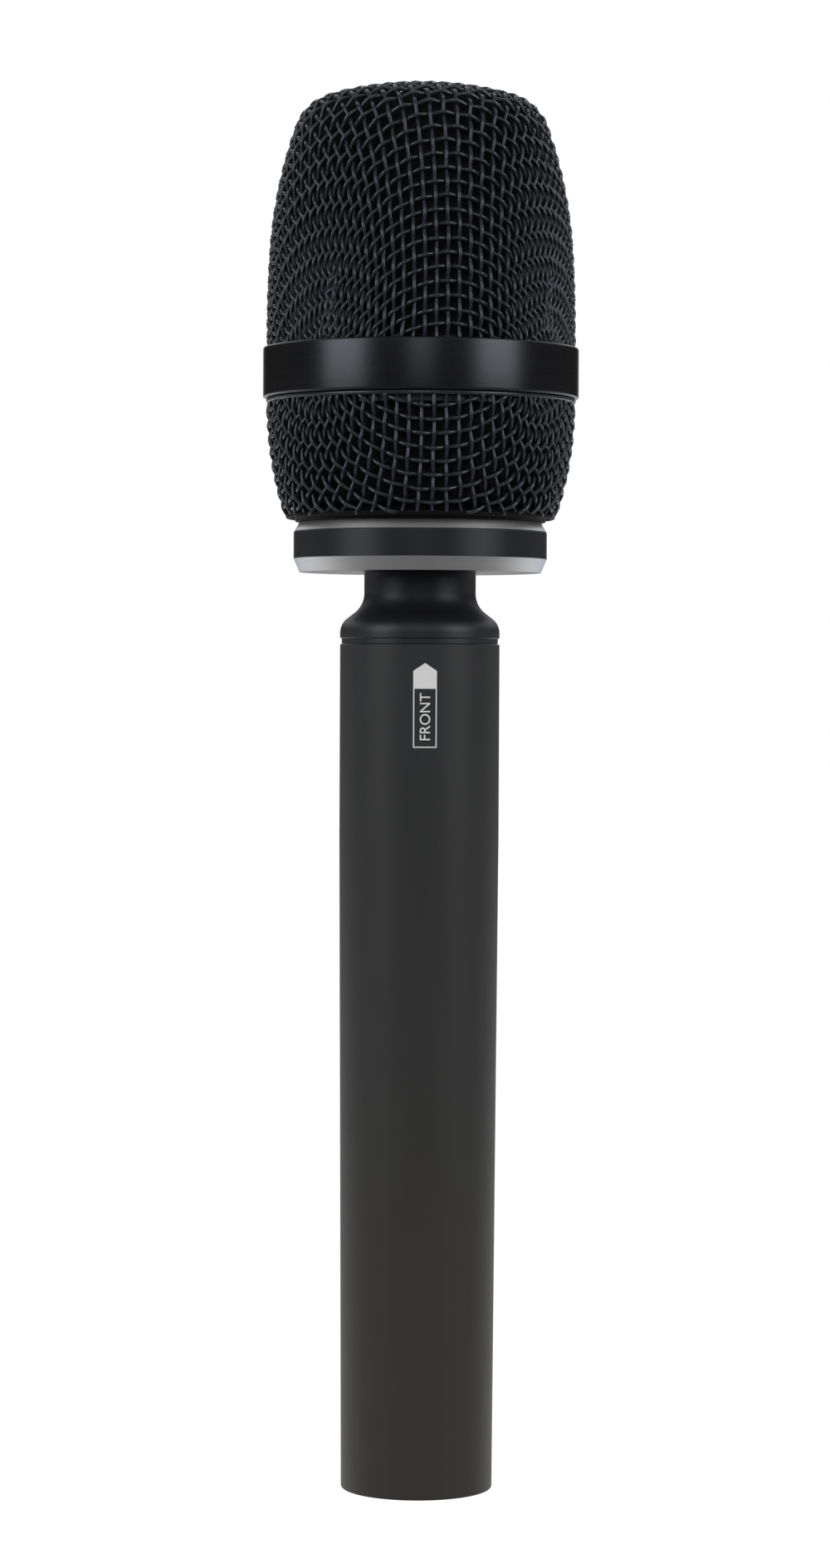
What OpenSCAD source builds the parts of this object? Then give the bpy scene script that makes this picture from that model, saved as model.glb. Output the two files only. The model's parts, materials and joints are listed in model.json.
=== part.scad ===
// Four-capsule surround microphone: a slim grip tube carries a neck, a round
// head plate and a woven wire basket in two halves. The upper half unscrews.
// All sizes are in millimetres. The origin is the centre of the grip's lower
// end face, +Z runs up the axis and the front of the microphone faces -Y.

/* [Grip tube] */
// Outer diameter of the grip tube under the collar
grip_d = 24.6; // [23.6:0.1:28]
// Outer diameter of the grip tube at its lower end
grip_low_d = 23.4; // [22.4:0.1:26.8]
// Length of the grip tube
grip_l = 130.6; // [118:0.2:150]
// Straight length under the collar, which a stand clip holds
clip_l = 30; // [20:1:60]
// Wall at the lower end, between the outside and the bore
grip_wall = 1.7; // [1.5:0.1:2.4]
// Thinner wall at the lower mouth, which takes the connector
mouth_wall = 1.3; // [1.2:0.1:1.6]
// Depth of the wider bore
mouth_bore_l = 7; // [6.4:0.1:9]
// Wall around the recess at the mouth, which takes the sleeve of the cable's plug
recess_wall = 1.1; // [0.9:0.05:1.3]
// Depth of that recess
recess_l = 3; // [2:0.1:3.2]
// Edge rounding at the grip's lower end
grip_edge_r = 0.4; // [0.2:0.05:0.5]

/* [Neck collar] */
// Width of the shadow groove between the grip and the collar
groove_h = 0.8; // [0.4:0.1:1.5]
// Depth of the shadow groove
groove_depth = 0.25; // [0.2:0.05:0.8]
// Straight band above the groove
band_h = 0.9; // [0.6:0.1:3]
// Rounding of the collar's shoulder
shoulder_r = 2.8; // [1:0.1:3.2]
// Diameter of the neck
neck_d = 17.2; // [15.4:0.1:18]
// Hollow rounding between the shoulder and the neck
neck_fillet_r = 3.8; // [1.5:0.1:4]
// Steepness of the slope between the two roundings, in degrees from the axis
neck_slope = 52; // [40:1:60]
// Straight length of the neck above its rounding
neck_l = 3.2; // [2:0.1:12]
// Diameter of the spigot that the head plate screws onto
neck_spigot_d = 13; // [11:0.1:14]
// Passage for the capsule leads
lead_bore_d = 7; // [5.6:0.1:9]
// Length of the collar inside the grip tube
collar_plug_l = 7; // [5:0.1:9]

/* [Head plate] */
// Distance of the plate's edge beyond the ring that holds the lower basket's foot
plate_proud = 0.28; // [0.2:0.02:2]
// Height of the plate's straight side
plate_side_h = 4; // [3.2:0.1:6]
// Heights of the bevels on the plate's upper and lower edges, and their width
plate_bevel = 1.6; // [0.8:0.1:2]
plate_low_bevel = 2.1; // [0.8:0.1:3]
plate_bevel_w = 0.9; // [0.5:0.1:2]
// Small rounding of the plate's edges
plate_edge_r = 0.3; // [0.1:0.05:0.5]

/* [Baskets] */
// Largest diameter of the wire baskets
basket_d = 47.7; // [46:0.1:50]
// Thickness of the wire cloth
wire_t = 1.2; // [0.6:0.05:1.25]
// Width of one strand of the wire cloth
strand_w = 0.85; // [0.5:0.05:1.2]
// Strands around the basket
mesh_columns = 40; // [24:4:44]
// Spacing of the strands along the basket wall
mesh_pitch = 3.2; // [2.8:0.1:4.5]
// Height of the lower basket, from the plate to the clamp ring
lower_basket_h = 19; // [16:0.5:24]
// Barrel radius of the lower basket
lower_barrel_r = 54; // [44:1:70]
// Straight wall of the lower basket under the clamp ring
lower_straight_h = 1; // [0.6:0.1:2]
// Rounding of the lower basket's foot
foot_r = 1.3; // [1.1:0.1:2]
// Thickness and width of the ring that holds the lower basket's foot
foot_ring_t = 1.8; // [1.4:0.1:2.2]
foot_ring_w = 3.7; // [3.4:0.1:5]
// Distance of that ring's lower edge inside the basket's foot
foot_ring_inset = 0.6; // [0.4:0.05:1]
// Diameter of the screws that hold the foot ring, and their depth in the plate
foot_screw_d = 1.9; // [1.4:0.1:2.2]
foot_screw_l = 2.6; // [2:0.1:3.5]
// Height of those screws' heads, which lie flush in the ring
foot_head_h = 0.9; // [0.6:0.1:1]
// Straight wall of the upper basket above the clamp ring
upper_straight_h = 2.2; // [1:0.1:6]
// Radii of the upper basket's wall, from its root to its shoulder
wall_r = 200; // [150:5:260]
turn_r = 70; // [55:1:90]
corner_r = 7; // [6:0.5:10]
// Slope of the wall, in degrees, where each radius ends
wall_end = 3.7; // [2:0.1:5]
turn_end = 19.7; // [15:0.1:21]
corner_end = 74; // [70:1:80]

/* [Clamp ring and thread] */
// Distance of the clamp ring's side beyond the baskets
ring_proud = 0.45; // [0.4:0.05:1.5]
// Height of the clamp ring
ring_h = 7.8; // [6.8:0.1:10]
// Rounding of the clamp ring's edges
ring_edge_r = 0.35; // [0.1:0.05:0.4]
// Height of the ring's lip around the upper basket's hem
lip_h = 3.9; // [3:0.1:5]
// Width of the seat beside the thread that the upper basket screws onto
seat_w = 0.5; // [0.4:0.05:1]
// Wall of the threaded ring
thread_wall = 1.5; // [1:0.1:2]
// Flange of the threaded ring under the clamp ring
flange_h = 1.6; // [1:0.1:2.4]
// Distance that the thread stands above that flange
thread_h = 5.6; // [4:0.1:6.6]

/* [Fits] */
// Clearance between parts that are glued, soldered or pressed
fit_gap = 0.05; // [0.03:0.01:0.1]
// Clearance between the threads of the unscrewing basket
thread_gap = 0.15; // [0.08:0.01:0.25]
// Clearance between the foam linings and what is beside them
foam_gap = 0.35; // [0.25:0.05:0.6]

/* [Foam linings] */
// Thickness of the foam in the upper basket
upper_foam_t = 3; // [2:0.1:4]
// Thickness of the foam in the lower basket
lower_foam_t = 2.5; // [1.5:0.1:3]

/* [Capsules] */
// Diameter of one capsule
capsule_d = 12; // [9:0.1:12.4]
// Depth of one capsule housing
capsule_h = 4.4; // [3.6:0.1:5]
// Distance from the centre of the array to the back of a capsule
array_r = 8.2; // [7.6:0.1:9]
// Height of the array's centre above the clamp ring's lower edge
array_h = 26.3; // [25:0.1:28]
// Wall of a capsule housing
capsule_wall = 0.6; // [0.4:0.05:1]
// Thickness of a capsule housing's back
capsule_back_t = 1.2; // [0.8:0.1:1.6]
// Thickness of a capsule's front cap
cap_t = 0.5; // [0.3:0.05:0.8]
// Holes in the outer ring of a front cap
cap_holes = 8; // [6:1:10]
// Diameter of a hole in a front cap
cap_hole_d = 1.4; // [0.8:0.1:1.8]
// Thickness of a backplate
backplate_t = 0.8; // [0.5:0.1:1]
// Thickness of a diaphragm with its tension ring
diaphragm_t = 0.2; // [0.1:0.05:0.3]

/* [Capsule mount] */
// Diameter of the post that carries the capsules
post_d = 7; // [6:0.1:8]
// Bore of the post
post_bore_d = 5; // [4.4:0.1:5.4]
// Diameter and thickness of the post's foot
post_foot_d = 22; // [19:0.5:24]
post_foot_t = 2; // [1.5:0.1:3]
// Distance of the post's top below the array's centre
post_drop = 15; // [14:0.1:17]
// Height of the rubber isolator
isolator_h = 4; // [3:0.1:5]
// Wall of the rubber isolator
isolator_wall = 2; // [1:0.1:2.4]
// Wall of the frame's socket and capsule cups
cup_wall = 0.9; // [0.6:0.05:1.2]
// Depth of a capsule cup and thickness of its floor
cup_h = 3; // [2:0.1:3.4]
cup_floor_t = 1; // [0.7:0.05:1.4]
// Diameter of an arm of the frame
arm_d = 3.6; // [3:0.1:4.4]
// Diameter of one capsule lead
lead_d = 0.6; // [0.4:0.05:0.8]

/* [Electronics] */
// Metal of a rail behind the preamplifier board's edge
rail_back_t = 1.45; // [1:0.05:2.5]
// Thickness of the board
board_t = 1.6; // [1:0.1:1.7]
// Length of the board
board_l = 90; // [84:1:92]
// Width of the rails that hold the board's edges
rail_w = 6; // [4:0.1:8]
// Depth of the board's slot in a rail
rail_slot = 0.9; // [0.5:0.1:1.2]
// Thickness of the two bulkheads
bulkhead_t = 2; // [1.5:0.1:3]
// Air between the board's upper edge and the upper bulkhead
board_air = 2; // [1:0.1:4]
// Length of the leads' soldered ends on the board
solder_l = 6; // [3:0.1:8]
// Radius and height of a transistor body
transistor_r = 1.8; // [1.4:0.1:1.9]
transistor_h = 4.5; // [3:0.1:5]
// Distance of the lower row of transistors from the board's upper edge, and of the upper row from it
transistor_drop = 14; // [12:0.5:18]
transistor_step = 6; // [5.5:0.5:7]
// Radius and length of a capacitor
capacitor_r = 2.4; // [1.8:0.1:3]
capacitor_l = 10; // [8:0.1:12]
// Distance between the two rows of capacitors and of the lower row from the board's upper edge
capacitor_step = 14; // [12.5:0.1:18]
capacitor_drop = 44; // [38:0.5:50]
// Width, height and thickness of an amplifier chip
chip_w = 4; // [3:0.1:5]
chip_h = 5; // [4:0.1:6]
chip_t = 1.6; // [1.2:0.1:2]
// Height of the lower row of chips on the board, and the distance to the upper row
chip_rise = 16; // [8:0.5:24]
chip_step = 20; // [10:0.5:30]
// Spacing of the two columns of parts on the board
part_column = 8; // [7:0.1:9]
// Width and depth of the plug block under the board
header_w = 10; // [6:0.1:12]
header_d = 3; // [2:0.1:5]

/* [Connector] */
// Room for the retaining ring around the connector's barrel
retainer_w = 2.1; // [1.6:0.1:2.4]
// Wall of the connector's barrel
barrel_wall = 0.9; // [0.7:0.05:1.3]
// Length of the connector's barrel
barrel_l = 12; // [11:0.1:14]
// Thickness of the connector's flange
connector_flange_h = 2; // [1.4:0.1:2.6]
// Height of the threaded retaining ring
retainer_h = 1.8; // [1.2:0.1:2.2]
// Thickness of the insulator that holds the pins
insulator_h = 5; // [4:0.1:5.6]
// Diameter and length of a contact pin
pin_d = 1; // [0.8:0.05:1.2]
pin_l = 12; // [11:0.1:13]
// Pins on the outer and the inner circle
outer_pins = 9; // [7:1:10]
inner_pins = 3; // [2:1:4]
// Distance of the outer pin circle from the barrel's bore
pin_margin = 2.4; // [1.8:0.1:3]
// Diameter of the inner pin circle
inner_circle_d = 5; // [4:0.1:5.6]
// Thickness of the round board on the pins, and its distance from the barrel
tail_board_t = 1.2; // [0.8:0.1:1.4]
tail_board_gap = 0.9; // [0.4:0.1:1.2]
// Length of the pins' soldered tails above that board
pin_tail = 0.4; // [0.2:0.1:0.6]
// Air between the round board and the lower bulkhead
bulkhead_gap = 0.8; // [0.7:0.1:2]
// Width and depth of the key in the barrel
key_w = 1.6; // [1:0.1:2]
key_d = 0.7; // [0.4:0.1:1]
// Width of the spanner slots in the retaining ring
spanner_w = 1.2; // [0.8:0.1:2]

/* [Hidden] */
$fn = 96;
arc_steps = 18;
cut = 1;
// Small chamfer on turned edges, and the lead-in at the top of the thread
edge_break = 0.15;
thread_lead_in = 0.4;
// Distance of the spigot's end below the plate's top
spigot_drop = 0.5;
// Room for the leads in the frame's stem, and the metal around the stem and the hub
lead_room = 0.3;
stem_wall = 1;
hub_wall = 1.4;
// Cap over the post's end, and the skirt of the socket below the isolator
socket_cap_t = 1;
socket_skirt = 0.4;
// Holes in a backplate, and the share of a plate's radius at which its holes lie
backplate_holes = 6;
backplate_hole_d = 0.9;
hole_circle = 0.6;

// Levels along the axis, from the grip's lower end upwards
retainer_z = mouth_bore_l - connector_flange_h - retainer_h;
barrel_top_z = retainer_z + barrel_l;
tail_board_z = barrel_top_z + tail_board_gap;
lower_bulkhead_z = tail_board_z + tail_board_t + bulkhead_gap;
rail_z = lower_bulkhead_z + bulkhead_t;
upper_bulkhead_z = grip_l - collar_plug_l - bulkhead_t;
rail_l = upper_bulkhead_z - rail_z;
board_z = upper_bulkhead_z - board_l - board_air;
band_z = grip_l + groove_h;
shoulder_z = band_z + band_h;
// A straight slope runs from the shoulder's rounding to the neck's
slope_top_r = neck_d / 2 + neck_fillet_r * (1 - cos(neck_slope));
slope_low_r = grip_d / 2 - shoulder_r * (1 - cos(neck_slope));
slope_low_z = shoulder_z + shoulder_r * sin(neck_slope);
slope_top_z = slope_low_z + (slope_low_r - slope_top_r) / tan(neck_slope);
fillet_z = slope_top_z + neck_fillet_r * sin(neck_slope);
plate_z = fillet_z + neck_l;
plate_side_z = plate_z + plate_low_bevel;
plate_bevel_z = plate_side_z + plate_side_h;
plate_top_z = plate_bevel_z + plate_bevel;
ring_z = plate_top_z + lower_basket_h;
ring_top_z = ring_z + ring_h;
upper_root_z = ring_top_z + upper_straight_h;
array_z = ring_z + array_h;
post_top_z = array_z - post_drop;

// Fitted radii
grip_bore_d = grip_low_d - 2 * grip_wall;
mouth_bore_d = grip_low_d - 2 * mouth_wall;
recess_d = grip_low_d - 2 * recess_wall;
barrel_d = mouth_bore_d - 2 * retainer_w;
barrel_bore_d = barrel_d - 2 * barrel_wall;
outer_circle_d = barrel_bore_d - 2 * pin_margin;
basket_r = basket_d / 2;
ring_d = basket_d + 2 * ring_proud;
hem_in_r = basket_r - wire_t;
flange_r = hem_in_r * cos(180 / mesh_columns) - fit_gap;
thread_d = 2 * (flange_r - seat_w);
thread_in_r = thread_d / 2 - thread_wall;
capsule_in_r = capsule_d / 2 - capsule_wall;
socket_r = post_d / 2 + isolator_wall + 2 * fit_gap;
plug_r = grip_bore_d / 2 - fit_gap;
mouth_fit_r = mouth_bore_d / 2 - fit_gap;
board_w = 2 * (plug_r - rail_back_t);
// The leads run down beside the board's faces
lead_ring_r = sqrt(2) * (board_t / 2 + lead_d / 2 + fit_gap);
stem_bore_r = lead_ring_r + lead_d / 2 + lead_room;

// The array's four directions: front left up, front right down, back left down, back right up
FRONT_LEFT = [1, -1, 1];
FRONT_RIGHT = [-1, -1, -1];
BACK_LEFT = [1, 1, -1];
BACK_RIGHT = [-1, 1, 1];
DIRECTIONS = [FRONT_LEFT, FRONT_RIGHT, BACK_LEFT, BACK_RIGHT];

// Basket outlines as chains of tangent arcs. Each arc is [radius, slope at its start, slope at its end].
corner_out_r = basket_r - wall_r * (1 - cos(wall_end)) - turn_r * (cos(wall_end) - cos(turn_end))
    - corner_r * (cos(turn_end) - cos(corner_end));
cap_r = corner_out_r / cos(corner_end);
UPPER_ARCS = [
    [wall_r, 0, wall_end],
    [turn_r, wall_end, turn_end],
    [corner_r, turn_end, corner_end],
    [cap_r, corner_end, 90]
];
lower_end = asin((lower_basket_h - foot_r - lower_straight_h) / (lower_barrel_r - foot_r));
foot_out_r = basket_r - lower_barrel_r * (1 - cos(lower_end)) - foot_r * cos(lower_end);
foot_ring_out_r = foot_out_r - foot_ring_inset;
foot_ring_bore_r = foot_ring_out_r - foot_ring_w;
foot_head_d = 1.6 * foot_screw_d;
plate_d = 2 * (foot_ring_out_r + plate_proud);
LOWER_ARCS = [[lower_barrel_r, 0, lower_end], [foot_r, lower_end, 90]];
lower_root_z = ring_z - lower_straight_h;

function arc_length(arc) = arc[0] * (arc[2] - arc[1]) * PI / 180;
function chain_length(arcs, i = 0) = i == len(arcs) ? 0 : arc_length(arcs[i]) + chain_length(arcs, i + 1);
function arc_point(arc, from, angle, up) = [
    from.x + arc[0] * (cos(angle) - cos(arc[1])),
    from.y + up * arc[0] * (sin(angle) - sin(arc[1]))
];

// Point on a chain at a distance s from its root: [radius, height, slope].
// Below the root the chain is a straight wall.
function chain_at(arcs, root, up, s, i = 0) =
    s <= 0 && i == 0 ? [root.x, root.y + up * s, 0]
    : s <= arc_length(arcs[i]) || i == len(arcs) - 1
        ? let (angle = min(90, arcs[i][1] + s / arcs[i][0] * 180 / PI))
            concat(arc_point(arcs[i], root, angle, up), angle)
        : chain_at(arcs, arc_point(arcs[i], root, arcs[i][2], up), up, s - arc_length(arcs[i]), i + 1);

// The same point moved inwards from the outer surface by a depth
function inset(p, depth, up) = [p[0] - depth * cos(p[2]), p[1] - up * depth * sin(p[2])];

UPPER_ROOT = [basket_r, upper_root_z];
LOWER_ROOT = [basket_r, lower_root_z];

// Points on a circular arc in a lathe profile
function arc(centre, r, from, to) = [
    for (i = [0:arc_steps]) let (a = from + (to - from) * i / arc_steps) centre + r * [cos(a), sin(a)]
];

// Places its children on one direction of the array, with the z axis pointing outwards
module facing(direction) {
    translate([0, 0, array_z])
        rotate([0, acos(direction.z / norm(direction)), atan2(direction.y, direction.x)])
            children();
}

// A ring of the given radii between two heights
module tube(outer_r, inner_r, low, high) {
    translate([0, 0, low])
        difference() {
            cylinder(r = outer_r, h = high - low);
            translate([0, 0, -cut])
                cylinder(r = inner_r, h = high - low + 2 * cut);
        }
}

// Wire cloth drawn over a chain of arcs. Each strand has a flat outer face and
// a ridge inside, so the cloth is one closed net around its openings. counts
// gives the openings in each row, and a row may have half as many as the last.
function drop(counts) = [for (i = 1; i < len(counts); i = i + 1) counts[i]];
function total(counts) = len(counts) == 0 ? 0 : counts[0] + total(drop(counts));
function before(counts, row) = total([for (i = [0:1:row - 1]) counts[i]]);
function fan(loop) = [for (i = [1:len(loop) - 2]) [loop[0], loop[i], loop[i + 1]]];
function turned(face, up) = up > 0 ? face : [face[2], face[1], face[0]];

module wire_net(arcs, root, up, start, row_step, hem, counts, closed) {
    rows = len(counts);
    nodes = [for (j = [0:rows]) counts[max(0, j - 1)]];
    corner_base = [for (j = [0:rows - 1]) 4 * before(counts, j)];
    ridge_base = [for (j = [0:rows]) 4 * total(counts) + before(nodes, j)];
    hem_base = 4 * total(counts) + total(nodes);
    first = counts[0];
    last = counts[rows - 1];
    end_base = hem_base + 2 * first;

    function at(s, angle, depth) =
        let (p = inset(chain_at(arcs, root, up, s), depth, up)) [p[0] * cos(angle), p[0] * sin(angle), p[1]];
    function corner(j, i, side, s) =
        let (pitch = 360 / counts[j], r = chain_at(arcs, root, up, s)[0])
            at(s, pitch * (i + (1 + side) / 2) - side * strand_w / 2 / r * 180 / PI, 0);
    function low(j) = start + j * row_step + strand_w / 2;
    function high(j) = start + (j + 1) * row_step - strand_w / 2;
    function ridge(j, i) = ridge_base[j] + (i + nodes[j]) % nodes[j];
    // Corners of an opening: 0 low left, 1 low right, 2 high left, 3 high right
    function hole(j, i, k) = corner_base[j] + 4 * ((i + counts[j]) % counts[j]) + k;

    corners = [
        for (j = [0:rows - 1], i = [0:counts[j] - 1])
            each [for (s = [low(j), high(j)], side = [-1, 1]) corner(j, i, side, s)]
    ];
    ridges = [
        for (j = [0:rows], i = [0:nodes[j] - 1]) at(start + j * row_step, 360 / nodes[j] * i, wire_t)
    ];
    hem_ring = [
        for (depth = [0, wire_t], i = [0:first - 1]) at(hem, 360 / first * i, depth)
    ];
    edge_s = start + rows * row_step + strand_w / 2;
    end_points = closed
        ? [at(chain_length(arcs), 0, 0), at(chain_length(arcs), 0, wire_t)]
        : [for (i = [0:last - 1]) at(edge_s, 360 / last * i, 0)];

    walls = [
        for (j = [0:rows - 1], i = [0:counts[j] - 1])
            let (step = nodes[j] / counts[j])
                each concat(
                    fan(concat([hole(j, i, 1), hole(j, i, 0)], [for (k = [0:step]) ridge(j, i * step + k)])),
                    fan([hole(j, i, 2), hole(j, i, 3), ridge(j + 1, i + 1), ridge(j + 1, i)]),
                    fan([hole(j, i, 0), hole(j, i, 2), ridge(j + 1, i), ridge(j, i * step)]),
                    fan([hole(j, i, 3), hole(j, i, 1), ridge(j, (i + 1) * step), ridge(j + 1, i + 1)]),
                    fan([hole(j, i, 1), hole(j, i, 3), hole(j, i + 1, 2), hole(j, i + 1, 0)])
                )
    ];
    hoops = [
        for (j = [0:1:rows - 2], i = [0:counts[j + 1] - 1])
            let (step = counts[j] / counts[j + 1], a = i * step, b = a + step - 1)
                each concat(
                    fan(concat(
                        [hole(j + 1, i, 1)],
                        [for (k = [step - 1:-1:0], side = [3, 2]) hole(j, a + k, side)],
                        [hole(j + 1, i, 0)]
                    )),
                    fan([hole(j, b, 3), hole(j + 1, i, 1), hole(j + 1, i + 1, 0), hole(j, b + 1, 2)])
                )
    ];
    hem_faces = [
        for (i = [0:first - 1])
            let (next = (i + 1) % first, outer = hem_base, inner = hem_base + first)
                each concat(
                    fan([outer + i, hole(0, i, 0), hole(0, i, 1), outer + next]),
                    [[outer + next, hole(0, i, 1), hole(0, i + 1, 0)]],
                    fan([inner + next, ridge(0, i + 1), ridge(0, i), inner + i]),
                    fan([outer + i, outer + next, inner + next, inner + i])
                )
    ];
    end_faces = [
        for (i = [0:last - 1])
            let (outer = end_base, next = (i + 1) % last)
                each closed
                    ? [
                        [hole(rows - 1, i, 2), outer, hole(rows - 1, i, 3)],
                        [hole(rows - 1, i, 3), outer, hole(rows - 1, i + 1, 2)],
                        [ridge(rows, i + 1), end_base + 1, ridge(rows, i)]
                    ]
                    : concat(
                        fan([outer + i, outer + next, hole(rows - 1, i, 3), hole(rows - 1, i, 2)]),
                        [[outer + next, hole(rows - 1, i + 1, 2), hole(rows - 1, i, 3)]],
                        fan([outer + next, outer + i, ridge(rows, i), ridge(rows, i + 1)])
                    )
    ];
    faces = [for (f = concat(walls, hoops, hem_faces, end_faces)) turned(f, up)];
    polyhedron(points = concat(corners, ridges, hem_ring, end_points), faces = faces, convexity = 12);
}

// Openings in a row: full around the wall, then halved where the strands crowd together
function row_count(arcs, root, s) =
    let (r = chain_at(arcs, root, 1, s)[0], share = r / root.x)
        share > 0.56 ? mesh_columns : share > 0.24 ? mesh_columns / 2 : mesh_columns / 4;

upper_start = ring_top_z - upper_root_z + strand_w / 2;
upper_rows = floor((chain_length(UPPER_ARCS) - upper_start - strand_w) / mesh_pitch);
upper_counts = [
    for (j = [0:upper_rows - 1]) row_count(UPPER_ARCS, UPPER_ROOT, upper_start + (j + 0.5) * mesh_pitch)
];
lower_start = lower_root_z - ring_z + strand_w / 2;
// The lower cloth stops two thirds round the foot's bend, and its rows share that length
bend_left = arc_length(LOWER_ARCS[1]) / 3;
lower_span = chain_length(LOWER_ARCS) - bend_left - lower_start - strand_w / 2;
lower_rows = round(lower_span / mesh_pitch);
lower_step = lower_span / lower_rows;
lower_counts = [for (j = [0:lower_rows - 1]) mesh_columns];

// Tube with a straight seat under the collar and a slight taper below it
module grip_tube() {
    r = grip_d / 2;
    low_r = grip_low_d / 2;
    color("dimgray")
        rotate_extrude()
            polygon(concat(
                [[recess_d / 2, 0]],
                arc([low_r - grip_edge_r, grip_edge_r], grip_edge_r, -90, 0),
                [[r, grip_l - clip_l], [r, grip_l - edge_break], [r - edge_break, grip_l]],
                [[grip_bore_d / 2, grip_l]],
                [[grip_bore_d / 2, mouth_bore_l], [mouth_bore_d / 2, mouth_bore_l]],
                [[mouth_bore_d / 2, recess_l], [recess_d / 2, recess_l]]
            ));
}

// Collar that plugs into the grip, with the shoulder, the neck and the spigot for the head plate
module neck_collar() {
    r = grip_d / 2;
    plug_z = grip_l - collar_plug_l;
    seat_z = grip_l + fit_gap;
    groove_r = r - groove_depth;
    spigot_top_z = plate_top_z - spigot_drop;
    color("black")
        rotate_extrude()
            polygon(concat(
                [[lead_bore_d / 2, plug_z], [plug_r, plug_z], [plug_r, seat_z]],
                [[groove_r, seat_z], [groove_r, band_z]],
                [[r - edge_break, band_z], [r, band_z + edge_break]],
                arc([r - shoulder_r, shoulder_z], shoulder_r, 0, neck_slope),
                arc([neck_d / 2 + neck_fillet_r, fillet_z], neck_fillet_r, 180 + neck_slope, 180),
                [[neck_d / 2, plate_z - fit_gap], [neck_spigot_d / 2, plate_z - fit_gap]],
                [[neck_spigot_d / 2, spigot_top_z], [lead_bore_d / 2, spigot_top_z]]
            ));
}

module foot_screw_places() {
    screw_ring_r = (foot_ring_bore_r + foot_ring_out_r) / 2;
    for (angle = [30, 150, 270])
        rotate([0, 0, angle])
            translate([screw_ring_r, 0, plate_top_z])
                children();
}

// Disc with a bevel on both edges, which screws onto the collar's spigot
module head_plate() {
    r = plate_d / 2;
    e = plate_edge_r;
    bore_r = neck_spigot_d / 2 + fit_gap;
    low_tilt = atan2(plate_bevel_w, plate_low_bevel);
    top_tilt = atan2(plate_bevel_w, plate_bevel);
    color("black")
        difference() {
            rotate_extrude()
                polygon(concat(
                    [[bore_r, plate_z], [r - plate_bevel_w, plate_z]],
                    arc([r - e, plate_side_z + e * tan(low_tilt / 2)], e, -low_tilt, 0),
                    arc([r - e, plate_bevel_z - e * tan(top_tilt / 2)], e, 0, top_tilt),
                    [[r - plate_bevel_w, plate_top_z], [bore_r, plate_top_z]]
                ));
            foot_screw_places()
                translate([0, 0, -foot_screw_l - 4 * fit_gap])
                    cylinder(d = foot_screw_d + 2 * fit_gap, h = foot_screw_l + cut, $fn = 32);
        }
}

module lower_grille() {
    color("black")
        wire_net(LOWER_ARCS, LOWER_ROOT, -1, lower_start, lower_step,
            fit_gap - lower_straight_h, lower_counts, false);
}

// Ring inside the lower basket's foot, which holds the wire cloth down on the plate
module basket_foot() {
    last = chain_length(LOWER_ARCS);
    depth = wire_t + 4 * fit_gap;
    low = plate_top_z + fit_gap;
    top = plate_top_z + foot_ring_t;
    rise = arc_length(LOWER_ARCS[1]) + foot_ring_t - 0.8 * foot_r;
    side = [
        for (i = [0:arc_steps])
            inset(chain_at(LOWER_ARCS, LOWER_ROOT, -1, last - rise * i / arc_steps), depth, -1)
    ];
    color("black")
        difference() {
            rotate_extrude()
                polygon(concat(
                    [[foot_ring_bore_r, low], [foot_ring_out_r, low]],
                    [for (p = side) if (p.y < top && p.x > foot_ring_out_r) p],
                    [[side[arc_steps].x, top], [foot_ring_bore_r, top]]
                ));
            foot_screw_places() {
                cylinder(d = foot_screw_d + 2 * fit_gap, h = 3 * foot_ring_t, center = true, $fn = 32);
                translate([0, 0, foot_ring_t - foot_head_h - fit_gap])
                    cylinder(d = foot_head_d + 2 * fit_gap, h = foot_ring_t, $fn = 32);
            }
        }
}

module foot_screws() {
    color("silver")
        foot_screw_places() {
            translate([0, 0, -foot_screw_l])
                cylinder(d = foot_screw_d, h = foot_screw_l + foot_ring_t - foot_head_h / 2, $fn = 32);
            translate([0, 0, foot_ring_t - foot_head_h])
                difference() {
                    cylinder(d = foot_head_d, h = foot_head_h, $fn = 32);
                    translate([0, 0, foot_head_h / 2])
                        cylinder(d = 0.8 * foot_screw_d, h = foot_head_h, $fn = 6);
                }
        }
}

// Fixed ring on top of the lower basket, which the upper basket screws onto
module threaded_ring() {
    seat_z = ring_z - fit_gap;
    color("black")
        rotate_extrude()
            polygon([
                [thread_in_r, seat_z - flange_h], [flange_r, seat_z - flange_h], [flange_r, seat_z],
                [thread_d / 2, seat_z], [thread_d / 2, seat_z + thread_h - thread_lead_in],
                [thread_d / 2 - thread_lead_in, seat_z + thread_h], [thread_in_r, seat_z + thread_h]
            ]);
}

// Outline of a foam lining: along the basket at one depth and back at a greater one
function lining(arcs, root, up, from, to, thickness) =
    let (
        depth = wire_t + foam_gap,
        steps = 48,
        path = [for (i = [0:steps]) chain_at(arcs, root, up, from + (to - from) * i / steps)]
    )
        concat(
            [for (i = [0:steps]) inset(path[i], depth, up)],
            [for (i = [steps:-1:0]) inset(path[i], depth + thickness, up)]
        );

// The lining reaches down to its gap above the ring in the basket's foot
module lower_foam() {
    fall = lower_basket_h - lower_straight_h - foot_ring_t - foam_gap;
    foam_end = asin(fall / (lower_barrel_r - wire_t - foam_gap));
    color("dimgray")
        rotate_extrude()
            polygon(lining(
                LOWER_ARCS, LOWER_ROOT, -1, flange_h + foam_gap + fit_gap - lower_straight_h,
                arc_length([lower_barrel_r, 0, foam_end]), lower_foam_t
            ));
}

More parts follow.
